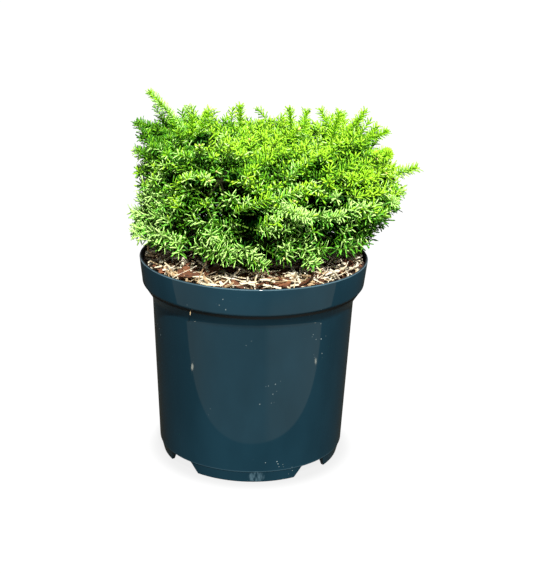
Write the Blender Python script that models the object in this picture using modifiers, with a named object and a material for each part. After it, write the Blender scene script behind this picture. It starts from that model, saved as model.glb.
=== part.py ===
"""Potted dwarf conifer: a moulded nursery container, its potting mix, a short stem, boughs and foliage.

Metres, +Z up. The origin is the middle of the container's underside, on the surface that it
stands on. The front is towards -Y.

The crown is a low, flat-topped cushion. It is shared out into spaces, one for each mass of
foliage, in rings round the stem. A mass grows from a heart in the middle of its space: twigs
run out to the crown's surface, each ends in a spray of needles, and side sprays fork off it.
"""
import math
import random
from collections import namedtuple

import bmesh
import bpy
from mathutils import Matrix, Vector

GAP = 0.0003                  # clearance between neighbouring solids
MERGE = 0.00001               # merge distance of turned profiles
SEED = 41

# Container: a turned shell with a collar, a foot skirt in four parts and a pad in the middle.
POT_HEIGHT = 0.173
RIM_RADIUS = 0.095            # outside the lip
LIP_ROUND = 0.0009
COLLAR_FOOT_RADIUS = 0.0928   # where the collar's side ends
COLLAR_FOOT_HEIGHT = 0.1525
COLLAR_ROUND = 0.0032
BODY_TOP_RADIUS = 0.0843
BODY_TOP_HEIGHT = 0.1385
BODY_FOOT_RADIUS = 0.0787
SKIRT_HEIGHT = 0.011          # the skirt below the body, up to its step
SKIRT_STEP = 0.0007
SOLE_RADIUS = 0.0758
SOLE_ROUND = 0.0012
SOLE_WIDTH = 0.0032
WALL = 0.0018
PAD_RADIUS = 0.020            # round pad under the middle of the floor
POT_STEPS = 36
FEET = 4
FEET_TURN = math.radians(-92.7)       # direction of the front foot's middle
NOTCH_HEIGHT = 0.0105
NOTCH_FOOT_HALF = 0.0176      # half width at the sole
NOTCH_TOP_HALF = 0.0116
NOTCH_ROUND = 0.0022
DRAIN_RADIUS = 0.0045
DRAIN_FROM_AXIS = 0.060

# Potting mix: it fills the container and is heaped a little under the plant.
MIX_STEPS = 18
MIX_EDGE_HEIGHT = 0.1672
MIX_HEAP = 0.0034
MIX_TILT = 0.0016             # higher towards +X, at the edge
MIX_ROUGH = 0.0009
STEM_BED_RADIUS = 0.016       # level bed that the stem stands on

# Stem: a short trunk with a root flare, up to its fork.
STEM_FOOT = MIX_EDGE_HEIGHT + MIX_HEAP + GAP
STEM_TOP = 0.2050
STEM_RADIUS = 0.0066
STEM_TOP_RADIUS = 0.0052
FLARE = 0.55                  # extra radius at the foot, as a share
FLARE_HEIGHT = 0.006
FLARE_LOBES = 5
STEM_LEAN = 0.0030            # how far the fork stands towards +X
STEM_SIDES = 15

# Crown: an oval cushion round a centre line beside the container's axis.
CROWN_X = 0.009
REACH_X = 0.111
REACH_Y = 0.101
CROWN_FOOT = 0.181
CROWN_WAIST = 0.236           # height where it is widest
CROWN_TOP = 0.2755            # in the middle
TOP_LIFT = 0.009              # its two sides stand higher than its middle
FOOT_GIRTH = 0.80             # share of the full reach at the foot
TOP_GIRTH = 0.93
OVERSHOOT = 1.05              # share of the crown's surface that ordinary sprays may reach
PARTING = 0.0006              # kept clear inside every wall of a space

# Rings of spaces: name, number, first direction, inner and outer share of the reach,
# foot, top (None is the crown's top), share of reach and height of the bough's tip.
Ring = namedtuple("Ring", "name count turn inner outer foot top tip_share tip_height root_height")
RINGS = (
    Ring("low", 7, math.radians(-90), 0.50, 1.0, CROWN_FOOT, 0.2262, 0.47, 0.2005, 0.1815),
    Ring("high", 7, math.radians(-90 + 180 / 7), 0.48, 1.0, 0.2275, None, 0.34, 0.2175, 0.1915),
    Ring("top", 4, math.radians(-45), 0.03, 0.465, 0.2365, None, 0.22, 0.2330, 0.2000),
)

# Boughs, twigs and sprays.
BOUGH_RADIUS = 0.0019
BOUGH_TIP_RADIUS = 0.0012
BOUGH_POINTS = 5
BOUGH_END = 0.004             # straight stretch before its tip
BOUGH_BEND = 0.4
TWIG_RADIUS = 0.0012
TWIG_TIP_RADIUS = 0.0007
SPRAY_LENGTH = 0.0300
SIDE_SHARE = 0.86             # a side spray's length, as a share of an end spray's
SIDE_ANGLE = math.radians(42)
NEEDLE = 0.0092               # how far the needles stand out from the spray's axis
NEEDLE_LEAN = 0.0066          # how far their tips lean forward
SPRAY_CORE = 0.0015
LEADER_LENGTH = 0.0360
PULLS = (0, 0.003, 0.006)     # a spray that would leave its space is tried again, drawn back
FORK_CHANCE = 0.08            # how often a side spray forks off
WALL_RISE = 0.75              # how steeply the sprays at the side rise, at the crown's top
WALL_DROOP = 0.20             # and how far the lowest ones hang
TOP_STRAY = 0.006             # how unevenly the sprays on top end

# Hearts: the dense core of each mass.
HEART_INSET = 0.0050          # kept clear of the space's inner walls
ROOT_DEPTH = 0.0055           # a spray rooted less deep than this has a twig from the heart
HEART_DEPTH = 0.016           # below the crown's top
HEART_OUTER = 0.80            # share of the crown's outline
HEART_ROUGH = 0.25
HEART_BOX = 0.65

# Where the sprays end, as shares of a space: sideways and upwards at the crown's side,
# sideways and outwards on its top.
WALL_MARKS = {
    "low": ((-0.68, 0.78), (-0.24, 0.86), (0.22, 0.80), (0.67, 0.84), (-0.48, 0.40), (0.0, 0.44),
            (0.47, 0.36), (0.04, 0.04)),
    "high": ((-0.62, 0.20), (0.02, 0.16), (0.64, 0.24), (-0.40, 0.60), (0.14, 0.66), (0.56, 0.62)),
}
TOP_MARKS = {
    "high": ((-0.55, 0.84), (0.52, 0.82), (-0.02, 0.62), (-0.42, 0.32), (0.42, 0.34)),
    "top": ((-0.54, 0.80), (0.52, 0.76), (0.0, 0.74), (-0.30, 0.38), (0.34, 0.22)),
}

# Long shoots that stand out of the cushion: tip positions.
LEADERS = (
    Vector((-0.0870, -0.004, 0.3050)), Vector((-0.0130, -0.012, 0.3030)),
    Vector((0.0262, 0.012, 0.2945)), Vector((0.0385, -0.006, 0.2975)),
    Vector((0.0640, 0.024, 0.2925)), Vector((0.0838, 0.006, 0.2960)),
    Vector((-0.0480, 0.014, 0.2940)), Vector((0.1040, 0.004, 0.2790)),
    Vector((0.1310, 0.002, 0.2475)), Vector((-0.1020, -0.006, 0.2790)),
    Vector((-0.1035, -0.002, 0.2590)), Vector((-0.1035, -0.006, 0.2095)),
    Vector((0.0090, 0.088, 0.2860)), Vector((-0.0600, 0.078, 0.2880)),
    Vector((0.0760, 0.076, 0.2870)), Vector((0.0330, -0.112, 0.2380)),
)


def clear_scene():
    for old in list(bpy.data.objects):
        bpy.data.objects.remove(old, do_unlink=True)


def new_collection(name):
    collection = bpy.data.collections.new(name)
    bpy.context.scene.collection.children.link(collection)
    return collection


def new_material(name, colour, roughness):
    material = bpy.data.materials.new(name)
    material.use_nodes = True
    shader = material.node_tree.nodes["Principled BSDF"]
    shader.inputs["Base Color"].default_value = (*colour, 1.0)
    shader.inputs["Roughness"].default_value = roughness
    shader.inputs["Metallic"].default_value = 0.0
    return material


def new_object(name, mesh, collection, material=None):
    item = bpy.data.objects.new(name, mesh)
    collection.objects.link(item)
    if material is not None:
        mesh.materials.append(material)
    return item


def mesh_from(name, work):
    """Turn a bmesh into a mesh and free it."""
    mesh = bpy.data.meshes.new(name)
    work.to_mesh(mesh)
    work.free()
    return mesh


def arc(centre, radius, start, end, steps):
    """Points (radius, height) on a round stretch of a turned profile, angles in degrees."""
    points = []
    for step in range(steps + 1):
        angle = math.radians(start + (end - start) * step / steps)
        points.append((centre[0] + radius * math.cos(angle), centre[1] + radius * math.sin(angle)))
    return points


def turned(name, profile, steps, collection, material):
    """Turn a profile of (radius, height) points round Z, inside first and outside last."""
    work = bmesh.new()
    row = [work.verts.new((radius, 0.0, height)) for radius, height in profile]
    for low, high in zip(row, row[1:]):
        work.edges.new((low, high))
    item = new_object(name, mesh_from(name, work), collection, material)
    screw = item.modifiers.new("Turn", "SCREW")
    screw.steps = screw.render_steps = steps
    screw.use_merge_vertices = True
    screw.merge_threshold = MERGE
    return item


def apply_modifiers(item):
    """Replace an object's mesh by its evaluated mesh."""
    depsgraph = bpy.context.evaluated_depsgraph_get()
    mesh = bpy.data.meshes.new_from_object(item.evaluated_get(depsgraph))
    item.modifiers.clear()
    item.data = mesh


def hide_cutter(item):
    item.hide_render = True
    item.display_type = "WIRE"


def pot_outside():
    """The container's outer side, from the lip down to the sole."""
    lip = arc((RIM_RADIUS - LIP_ROUND, POT_HEIGHT - LIP_ROUND), LIP_ROUND, 90, 0, 2)
    shoulder = arc((COLLAR_FOOT_RADIUS - COLLAR_ROUND, COLLAR_FOOT_HEIGHT), COLLAR_ROUND, 0, -48, 2)
    body = [(BODY_TOP_RADIUS + 0.0006, BODY_TOP_HEIGHT + 0.0008), (BODY_TOP_RADIUS, BODY_TOP_HEIGHT - 0.001),
            (BODY_FOOT_RADIUS, SKIRT_HEIGHT), (BODY_FOOT_RADIUS - SKIRT_STEP, SKIRT_HEIGHT - SKIRT_STEP)]
    sole = arc((SOLE_RADIUS - SOLE_ROUND, SOLE_ROUND), SOLE_ROUND, -5, -90, 2)
    return lip + shoulder + body + sole


def pot_inside():
    """The container's inner side, from the floor's edge up to the lip."""
    return [(BODY_FOOT_RADIUS - WALL, SKIRT_HEIGHT + WALL),
            (BODY_TOP_RADIUS - WALL, BODY_TOP_HEIGHT + 0.0004),
            (COLLAR_FOOT_RADIUS - WALL - 0.0006, COLLAR_FOOT_HEIGHT - 0.0004),
            (RIM_RADIUS - WALL - 0.0001, POT_HEIGHT - LIP_ROUND)]


def inner_radius(height):
    """Radius of the container's inner side at a height."""
    wall = pot_inside()
    for (low_radius, low), (high_radius, high) in zip(wall, wall[1:]):
        if height <= high:
            return low_radius + (high_radius - low_radius) * (height - low) / (high - low)
    return wall[-1][0]


def notch_cutter(direction, collection):
    """A block that cuts the gap between two feet, narrower at its top and round in its corners."""
    slope = (NOTCH_FOOT_HALF - NOTCH_TOP_HALF) / NOTCH_HEIGHT
    below = NOTCH_HEIGHT * 0.5
    half = [(NOTCH_FOOT_HALF + slope * below, -below), (NOTCH_FOOT_HALF - slope * 0.002, 0.002)]
    half += arc((NOTCH_TOP_HALF - NOTCH_ROUND * 0.4, NOTCH_HEIGHT - NOTCH_ROUND), NOTCH_ROUND, 35, 90, 3)
    outline = half + [(-across, height) for across, height in reversed(half)]
    work = bmesh.new()
    near = DRAIN_FROM_AXIS - 0.004
    face = work.faces.new([work.verts.new((near, across, height)) for across, height in outline])
    grown = bmesh.ops.extrude_face_region(work, geom=[face])
    moved = [item for item in grown["geom"] if isinstance(item, bmesh.types.BMVert)]
    bmesh.ops.translate(work, verts=moved, vec=(RIM_RADIUS - near, 0, 0))
    bmesh.ops.recalc_face_normals(work, faces=work.faces)
    bmesh.ops.rotate(work, verts=work.verts, matrix=Matrix.Rotation(direction, 3, "Z"))
    cutter = new_object("notch_cutter", mesh_from("notch_cutter", work), collection)
    hide_cutter(cutter)
    return cutter


def drain_cutter(direction, collection):
    """A drill for one drain hole through the floor."""
    work = bmesh.new()
    bmesh.ops.create_cone(work, cap_ends=True, segments=12, radius1=DRAIN_RADIUS, radius2=DRAIN_RADIUS,
                          depth=4 * WALL)
    place = Vector((DRAIN_FROM_AXIS * math.cos(direction), DRAIN_FROM_AXIS * math.sin(direction),
                    SKIRT_HEIGHT + WALL / 2))
    bmesh.ops.translate(work, verts=work.verts, vec=place)
    cutter = new_object("drain_cutter", mesh_from("drain_cutter", work), collection)
    hide_cutter(cutter)
    return cutter


def build_pot(parts, cutters, material):
    """The container: one turned wall, cut by four notches in the skirt and four drain holes."""
    floor = SKIRT_HEIGHT
    sole_inner = SOLE_RADIUS - SOLE_WIDTH
    inside = [(0.0, WALL), (PAD_RADIUS - WALL, WALL), (PAD_RADIUS - WALL, floor + WALL)] + pot_inside()
    lip_inner = arc((RIM_RADIUS - WALL + LIP_ROUND - 0.0001, POT_HEIGHT - LIP_ROUND), LIP_ROUND, 180, 110, 2)
    underside = [(sole_inner, 0.0), (sole_inner, floor), (PAD_RADIUS, floor), (PAD_RADIUS, 0.0), (0.0, 0.0)]
    profile = inside + lip_inner[1:] + pot_outside() + underside
    pot = turned("pot", profile, POT_STEPS, parts, material)
    for foot in range(FEET):
        direction = FEET_TURN + math.tau * (foot + 0.5) / FEET
        for cutter in (notch_cutter(direction, cutters), drain_cutter(direction, cutters)):
            cut = pot.modifiers.new("Cut", "BOOLEAN")
            cut.operation = "DIFFERENCE"
            cut.object = cutter
    return pot


def mix_height(x, y):
    """Height of the potting mix's surface away from the stem's bed."""
    across = math.hypot(x, y) / RIM_RADIUS
    heap = MIX_HEAP * (1 - across ** 4)
    waves = math.sin(x * 190 + 1.1) * math.cos(y * 170 - 0.6) + 0.6 * math.sin((x + y) * 330)
    return MIX_EDGE_HEIGHT + heap + MIX_TILT * x / RIM_RADIUS + MIX_ROUGH * waves


def build_mix(parts, material):
    """The potting mix: it fills the container, its bottom lies on the floor and in the pad's dip."""
    floor = SKIRT_HEIGHT + WALL + GAP
    dip = PAD_RADIUS - WALL - GAP
    side = 1.6 * GAP
    heights = (BODY_TOP_HEIGHT, COLLAR_FOOT_HEIGHT, MIX_EDGE_HEIGHT)
    wall = [(inner_radius(height) - side, height) for height in heights]
    top = [(share * RIM_RADIUS, MIX_EDGE_HEIGHT + MIX_HEAP) for share in (0.80, 0.60, 0.38)]
    bed = [(STEM_BED_RADIUS, MIX_EDGE_HEIGHT + MIX_HEAP), (0.0, MIX_EDGE_HEIGHT + MIX_HEAP)]
    wall.insert(0, (inner_radius(floor) - side, floor))
    profile = [(0.0, WALL + GAP), (dip, WALL + GAP), (dip, floor)] + wall + top + bed
    profile.reverse()
    mix = turned("potting_mix", profile, MIX_STEPS, parts, material)
    apply_modifiers(mix)
    for vertex in mix.data.vertices:
        x, y, z = vertex.co
        if z > MIX_EDGE_HEIGHT - MERGE and math.hypot(x, y) > STEM_BED_RADIUS + MERGE:
            vertex.co.z = mix_height(x, y)
    return mix


def stem_middle(height):
    """Centre of the stem at a height."""
    share = (height - STEM_FOOT) / (STEM_TOP - STEM_FOOT)
    return Vector((STEM_LEAN * share, 0.0, height))


def stem_radius(height):
    """Plain radius of the stem at a height, without its flare."""
    share = (height - STEM_FOOT) / (STEM_TOP - STEM_FOOT)
    return STEM_RADIUS + (STEM_TOP_RADIUS - STEM_RADIUS) * share


def build_stem(parts, material):
    """The trunk: a cylinder drawn into a taper, a lean and a lobed root flare."""
    tall = STEM_TOP - STEM_FOOT
    work = bmesh.new()
    bmesh.ops.create_cone(work, cap_ends=True, segments=STEM_SIDES, radius1=1, radius2=1, depth=tall)
    bmesh.ops.translate(work, verts=work.verts, vec=(0, 0, STEM_FOOT + tall / 2))
    for share in (0.05, 0.12, 0.25, 0.6):
        bmesh.ops.bisect_plane(work, geom=work.verts[:] + work.edges[:] + work.faces[:],
                               plane_co=(0, 0, STEM_FOOT + tall * share), plane_no=(0, 0, 1))
    for vertex in work.verts:
        height = vertex.co.z
        direction = math.atan2(vertex.co.y, vertex.co.x)
        flare = FLARE * math.exp(-(height - STEM_FOOT) / FLARE_HEIGHT * 1.6)
        radius = stem_radius(height) * (1 + flare * (0.7 + 0.3 * math.cos(FLARE_LOBES * direction)))
        middle = stem_middle(height)
        vertex.co = middle + Vector((radius * math.cos(direction), radius * math.sin(direction), 0))
    return new_object("trunk", mesh_from("trunk", work), parts, material)


def crown_point(share, direction, height):
    """A point of the crown from its share of the reach, its direction and its height."""
    return Vector((CROWN_X + REACH_X * share * math.cos(direction),
                   REACH_Y * share * math.sin(direction), height))


def crown_girth(height):
    """The crown's outline at a height, as a share of its full reach."""
    if height < CROWN_WAIST:
        down = (CROWN_WAIST - height) / (CROWN_WAIST - CROWN_FOOT)
        return 1 - (1 - FOOT_GIRTH) * down ** 2
    up = (height - CROWN_WAIST) / (CROWN_TOP - CROWN_WAIST)
    return 1 - (1 - TOP_GIRTH) * up ** 2


def crown_top(x):
    """Height of the crown's top: its two sides stand higher than its middle."""
    return CROWN_TOP + TOP_LIFT * ((x - CROWN_X) / REACH_X) ** 2


def space_room(ring, direction, point, outside=OVERSHOOT):
    """Distance of a point from the nearest wall of its space, less than 0 outside it."""
    across = (point.x - CROWN_X) / REACH_X
    along = point.y / REACH_Y
    share = math.hypot(across, along)
    foot = ring.foot + (0 if ring.foot > CROWN_FOOT else -0.004)
    room = [point.z - foot, (share - ring.inner) * REACH_Y]
    if ring.outer == 1.0:
        room.append((crown_girth(point.z) * outside - share) * REACH_Y)
    else:
        room.append((ring.outer - share) * REACH_Y)
    top = ring.top if ring.top else crown_top(point.x) + REACH_Y * (outside - 1)
    room.append(top - point.z)
    turn = (math.atan2(along, across) - direction + math.pi) % math.tau - math.pi
    room.append(share * REACH_Y * math.sin(max(-math.pi / 2, math.pi / ring.count - abs(turn))))
    return min(room)


def space_heart(ring, direction):
    """Middle of a space, where its twigs start."""
    top = ring.top or CROWN_TOP
    return crown_point(0.5 * (ring.inner + ring.outer), direction, ring.foot + 0.48 * (top - ring.foot))


def outward(direction):
    return Vector((math.cos(direction), math.sin(direction), 0))


def space_tips(ring, direction, rng):
    """Tips and directions of a mass's sprays, spread over the crown's surface."""
    half = math.pi / ring.count
    tips = []
    for turn, lift in WALL_MARKS.get(ring.name, ()):
        height = ring.foot + (lift + 0.10 * rng.uniform(-1, 1)) * ((ring.top or CROWN_TOP) - ring.foot)
        height = max(height, ring.foot + NEEDLE)
        bearing = direction + (turn + 0.08 * rng.uniform(-1, 1)) * half
        tip = crown_point(crown_girth(height) * rng.uniform(0.95, 1.03), bearing, height)
        rise = WALL_RISE * (height - CROWN_FOOT) / (CROWN_TOP - CROWN_FOOT) - WALL_DROOP
        way = outward(bearing + rng.uniform(-0.3, 0.3)) + Vector((0, 0, rise + rng.uniform(-0.15, 0.15)))
        tips.append((tip, way.normalized()))
    for turn, depth in TOP_MARKS.get(ring.name, ()):
        share = ring.inner + depth * (ring.outer - ring.inner)
        bearing = direction + turn * half
        tip = crown_point(share, bearing, 0)
        tip.z = crown_top(tip.x) + TOP_STRAY * rng.uniform(-0.6, 1)
        way = outward(bearing + rng.uniform(-0.5, 0.5)) * (0.25 + 0.5 * share) + Vector((0, 0, 1))
        tips.append((tip, way.normalized()))
    return tips


def frame_along(way):
    """Rotation that turns +Z along a direction."""
    return way.to_track_quat("Z", "Y").to_matrix().to_4x4()


def twig_mesh(start, end, radius, end_radius, sides=3):
    """A tapering twig between two points."""
    way = end - start
    work = bmesh.new()
    bmesh.ops.create_cone(work, cap_ends=True, segments=sides, radius1=radius, radius2=end_radius,
                          depth=way.length)
    place = Matrix.Translation((start + end) / 2) @ frame_along(way)
    bmesh.ops.transform(work, matrix=place, verts=work.verts)
    return work


def spray_mesh(start, end, turn):
    """A spray of needles: a slim core whose every other vertex is drawn out into a needle."""
    way = end - start
    length = way.length - NEEDLE_LEAN * 0.4
    rows, around = 3, 6
    work = bmesh.new()
    bmesh.ops.create_uvsphere(work, u_segments=around, v_segments=rows + 1, radius=1)
    for vertex in work.verts:
        level = round((1 - math.acos(max(-1, min(1, vertex.co.z))) / math.pi) * (rows + 1))
        angle = math.atan2(vertex.co.y, vertex.co.x)
        column = round(angle / math.tau * around)
        height = length * (0.02 + 0.27 * level) if level <= rows else way.length
        if level in (0, rows + 1):
            vertex.co = Vector((0, 0, height))
            continue
        taper = 1.08 - 0.16 * level
        needle = (level + column) % 2 == 0
        radius = NEEDLE * taper if needle else SPRAY_CORE
        lean = NEEDLE_LEAN if needle else 0.0
        angle += turn
        vertex.co = Vector((radius * math.cos(angle), radius * math.sin(angle), height + lean))
    bmesh.ops.triangulate(work, faces=work.faces, quad_method="SHORT_EDGE")
    bmesh.ops.transform(work, matrix=Matrix.Translation(start) @ frame_along(way), verts=work.verts)
    return work


def boxy(value):
    """Push a coordinate of a ball outwards, which fills the corners of its box better."""
    return math.copysign(abs(value) ** HEART_BOX, value)


def heart_mesh(ring, direction, rng):
    """The dense core of a mass: a rough ball drawn out to the form of its space."""
    top = ring.top - HEART_INSET if ring.top else CROWN_TOP - HEART_DEPTH
    foot = ring.foot + HEART_INSET
    outer = HEART_OUTER if ring.outer == 1.0 else ring.outer - HEART_INSET / REACH_Y
    inner = ring.inner + HEART_INSET / REACH_Y
    work = bmesh.new()
    bmesh.ops.create_icosphere(work, subdivisions=2, radius=1)
    for vertex in work.verts:
        swell = 1 - HEART_ROUGH * rng.random()
        deep, wide, high = (boxy(value) * swell for value in vertex.co)
        height = (foot + top) / 2 + high * (top - foot) / 2
        edge = outer * crown_girth(height) if ring.outer == 1.0 else outer
        share = (inner + edge) / 2 + deep * (edge - inner) / 2
        turn = wide * (math.pi / ring.count - HEART_INSET / (share * REACH_Y))
        vertex.co = crown_point(share, direction + turn, height)
    return work


def keeps_room(work, ring, direction, outside=OVERSHOOT):
    return all(space_room(ring, direction, vertex.co, outside) > PARTING for vertex in work.verts)


def grow_mass(ring, direction, rng, leaders):
    """All the pieces of one mass, as a list of bmeshes: heart, twigs and sprays."""
    heart = space_heart(ring, direction)
    pieces = [heart_mesh(ring, direction, rng)]
    tips = [(tip, way, SPRAY_LENGTH, OVERSHOOT) for tip, way in space_tips(ring, direction, rng)]
    tips += [(tip, (tip - heart).normalized(), LEADER_LENGTH, 2.0) for tip in leaders]
    for tip, way, length, outside in tips:
        turn = rng.uniform(0, math.tau)
        forks = rng.random() < FORK_CHANCE
        hand = rng.choice((-1, 1))
        for pull in PULLS:
            root = tip - way * (length + pull)
            spray = spray_mesh(root, tip - way * pull, turn)
            fits = keeps_room(spray, ring, direction, outside)
            if fits:
                break
            spray.free()
        if not fits:
            continue
        pieces.append(spray)
        if space_room(ring, direction, root, HEART_OUTER) < ROOT_DEPTH:
            pieces.append(twig_mesh(heart, root + way * length * 0.3, TWIG_RADIUS, TWIG_TIP_RADIUS))
        if not forks:
            continue
        level = Vector((0, 0, 1)) if abs(way.z) < 0.8 else outward(direction)
        side_way = Matrix.Rotation(hand * SIDE_ANGLE, 3, (level - way * level.dot(way)).normalized()) @ way
        side = spray_mesh(root, root + side_way * length * SIDE_SHARE, turn)
        if keeps_room(side, ring, direction, outside):
            pieces.append(side)
        else:
            side.free()
    return pieces


def fuse(name, pieces, parts, material):
    """Join overlapping pieces into one solid by a Boolean union on a collection."""
    group = bpy.data.collections.new(name + "_pieces")
    body = new_object(name, mesh_from(name, pieces[0]), parts, material)
    for index, work in enumerate(pieces[1:]):
        piece_name = f"{name}_piece_{index}"
        new_object(piece_name, mesh_from(piece_name, work), group)
    union = body.modifiers.new("Union", "BOOLEAN")
    union.operation = "UNION"
    union.operand_type = "COLLECTION"
    union.collection = group
    union.solver = "EXACT"
    apply_modifiers(body)
    for piece in list(group.objects):
        bpy.data.objects.remove(piece, do_unlink=True)
    bpy.data.collections.remove(group)
    keep_largest(body)
    return body


def keep_largest(item):
    """Drop loose scraps and sealed hollows: only the largest connected surface stays."""
    work = bmesh.new()
    work.from_mesh(item.data)
    waiting = set(work.faces)
    islands = []
    while waiting:
        island = set()
        edge_of_search = [waiting.pop()]
        while edge_of_search:
            face = edge_of_search.pop()
            island.add(face)
            for edge in face.edges:
                for other in edge.link_faces:
                    if other in waiting:
                        waiting.remove(other)
                        edge_of_search.append(other)
        islands.append(island)
    islands.sort(key=len)
    scraps = [face for island in islands[:-1] for face in island]
    bmesh.ops.delete(work, geom=scraps, context="FACES")
    work.to_mesh(item.data)
    work.free()


def bough_points(root, tip, toward):
    """Points of a limb: a curve away from the stem that ends in a straight stretch."""
    last = tip - toward * BOUGH_END
    bend = last - toward * (last - root).length * BOUGH_BEND
    points = []
    for index in range(BOUGH_POINTS - 1):
        share = index / (BOUGH_POINTS - 2)
        points.append(root.lerp(bend, share).lerp(bend.lerp(last, share), share))
    return points + [tip]


def build_bough(name, ring, direction, parts, material):
    """One tapering limb from beside the stem towards its mass's heart. Returns its tip."""
    tip = crown_point(ring.tip_share, direction, ring.tip_height)
    toward = (space_heart(ring, direction) - tip).normalized()
    middle = stem_middle(ring.root_height)
    away = Vector((tip.x - middle.x, tip.y - middle.y, 0)).normalized()
    root = middle + away * (stem_radius(ring.root_height) * 1.02 + GAP + BOUGH_RADIUS * 0.45)
    curve = bpy.data.curves.new(name, "CURVE")
    curve.dimensions = "3D"
    curve.bevel_depth = 1.0
    curve.bevel_resolution = 1
    curve.use_fill_caps = True
    spline = curve.splines.new("POLY")
    places = bough_points(root, tip, toward)
    spline.points.add(len(places) - 1)
    for index, (point, place) in enumerate(zip(spline.points, places)):
        share = index / (len(places) - 1)
        point.co = (*place, 1.0)
        point.radius = BOUGH_RADIUS + (BOUGH_TIP_RADIUS - BOUGH_RADIUS) * share
    curve.materials.append(material)
    parts.objects.link(bpy.data.objects.new(name, curve))
    return tip


def leaders_of(ring, direction):
    """The long shoots whose tips lie in a space's own sector and nowhere else."""
    own = []
    for tip in LEADERS:
        across = (tip.x - CROWN_X) / REACH_X
        along = tip.y / REACH_Y
        share = math.hypot(across, along)
        turn = (math.atan2(along, across) - direction + math.pi) % math.tau - math.pi
        if abs(turn) > math.pi / ring.count:
            continue
        low_enough = ring.top is None or tip.z < ring.top
        outermost = ring.outer == 1.0
        if share > ring.inner and (outermost or share < ring.outer) and tip.z > ring.foot and low_enough:
            own.append(tip)
    return own


def build_crown(parts, bark, foliage):
    """A bough and a mass of foliage for every space of the crown."""
    for ring in RINGS:
        for index in range(ring.count):
            direction = ring.turn + math.tau * index / ring.count
            label = f"{ring.name}_{index + 1}"
            tip = build_bough(f"bough_{label}", ring, direction, parts, bark)
            rng = random.Random(f"{SEED} {label}")
            pieces = grow_mass(ring, direction, rng, leaders_of(ring, direction))
            heart = space_heart(ring, direction)
            stem_start = tip + (heart - tip).normalized() * GAP
            pieces.append(twig_mesh(stem_start, heart, BOUGH_TIP_RADIUS, TWIG_RADIUS, 5))
            fuse(f"foliage_{label}", pieces, parts, foliage)


def main():
    clear_scene()
    parts = new_collection("potted_conifer")
    cutters = new_collection("cutters")
    plastic = new_material("container_plastic", (0.019, 0.055, 0.076), 0.32)
    mulch = new_material("mulch", (0.30, 0.20, 0.12), 0.95)
    bark = new_material("bark", (0.16, 0.09, 0.05), 0.85)
    foliage = new_material("foliage", (0.16, 0.36, 0.03), 0.55)
    build_pot(parts, cutters, plastic)
    build_mix(parts, mulch)
    build_stem(parts, bark)
    build_crown(parts, bark, foliage)


main()
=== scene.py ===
# %% [markdown]
# # A potted dwarf conifer, dressed over its frame
# The frame gives the plain solids: a nursery container, its potting mix, a stem, boughs and
# closed masses of foliage. This lesson keeps their places and sizes and gives each one its
# finished surface: moulded plastic, shredded wood, bark, and shoots thick with needles.

# %% Load the frame
import math
import random
from collections import namedtuple

import bmesh
import bpy
import numpy as np
from mathutils import Matrix, Quaternion, Vector, noise


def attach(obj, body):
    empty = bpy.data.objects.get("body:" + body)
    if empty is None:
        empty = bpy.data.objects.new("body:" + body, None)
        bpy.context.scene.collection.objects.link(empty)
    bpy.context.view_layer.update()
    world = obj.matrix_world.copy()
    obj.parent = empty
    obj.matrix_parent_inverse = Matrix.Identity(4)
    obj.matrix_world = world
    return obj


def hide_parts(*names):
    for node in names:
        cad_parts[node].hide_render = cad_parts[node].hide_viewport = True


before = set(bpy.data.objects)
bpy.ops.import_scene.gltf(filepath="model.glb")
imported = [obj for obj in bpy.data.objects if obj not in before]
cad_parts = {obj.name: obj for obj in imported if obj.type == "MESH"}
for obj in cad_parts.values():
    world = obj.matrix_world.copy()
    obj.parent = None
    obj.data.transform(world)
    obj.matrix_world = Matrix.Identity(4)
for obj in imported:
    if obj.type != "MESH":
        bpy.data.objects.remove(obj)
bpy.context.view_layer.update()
node_names = sorted(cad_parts)
bough_nodes = [name for name in node_names if name.startswith("bough_")]
foliage_nodes = [name for name in node_names if name.startswith("foliage_")]
print(len(bough_nodes), "boughs and", len(foliage_nodes), "masses of foliage in the frame")

# %% [markdown]
# ## The camera
# The camera looks down on the pot a little, from just left of its front, and rolls by a degree,
# as a hand-held one does. A constraint could aim it, but turning it by its own bearing leaves
# nothing live. Its focal length is given in pixels of the finished picture.

# %% Place the camera
PICTURE_HEIGHT = 574          # pixels, the longer side
FOCAL_PIXELS = 1186.8
SENSOR = 36.0                 # millimetres along the longer side
CAMERA_DISTANCE = 1.0
CAMERA_AZIMUTH = math.radians(-0.937)
CAMERA_ELEVATION = math.radians(18.377)
CAMERA_ROLL = math.radians(1.446)
CAMERA_TARGET = Vector((0.016575, 0.0, 0.143971))


def put(name, data):
    """An object of some data, linked to the scene."""
    item = bpy.data.objects.new(name, data)
    bpy.context.scene.collection.objects.link(item)
    return item


def aim(item, back, roll=0.0):
    """Turn a camera or lamp so that the given direction lies straight behind it."""
    item.rotation_mode = "QUATERNION"
    item.rotation_quaternion = back.to_track_quat("Z", "Y") @ Quaternion((0, 0, 1), roll)


def place_camera():
    """A camera that looks at the target from its azimuth and elevation."""
    flat = math.cos(CAMERA_ELEVATION)
    back = Vector((math.sin(CAMERA_AZIMUTH) * flat, -math.cos(CAMERA_AZIMUTH) * flat,
                   math.sin(CAMERA_ELEVATION)))
    camera = put("camera", bpy.data.cameras.new("camera"))
    camera.data.sensor_width = SENSOR
    camera.data.lens = FOCAL_PIXELS * SENSOR / PICTURE_HEIGHT
    camera.location = CAMERA_TARGET + back * CAMERA_DISTANCE
    aim(camera, back, CAMERA_ROLL)
    bpy.context.scene.camera = camera
    return camera


print("lens", round(place_camera().data.lens, 1), "mm")

# %% [markdown]
# ## Helpers for materials
# Colours are named as a painter reads them off a swatch, from 0 to 255, and turned into the
# linear values that a shader needs. Node trees could be clicked together in the editor. Written
# with a few short helpers they read as sums, one line for each step.

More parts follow.
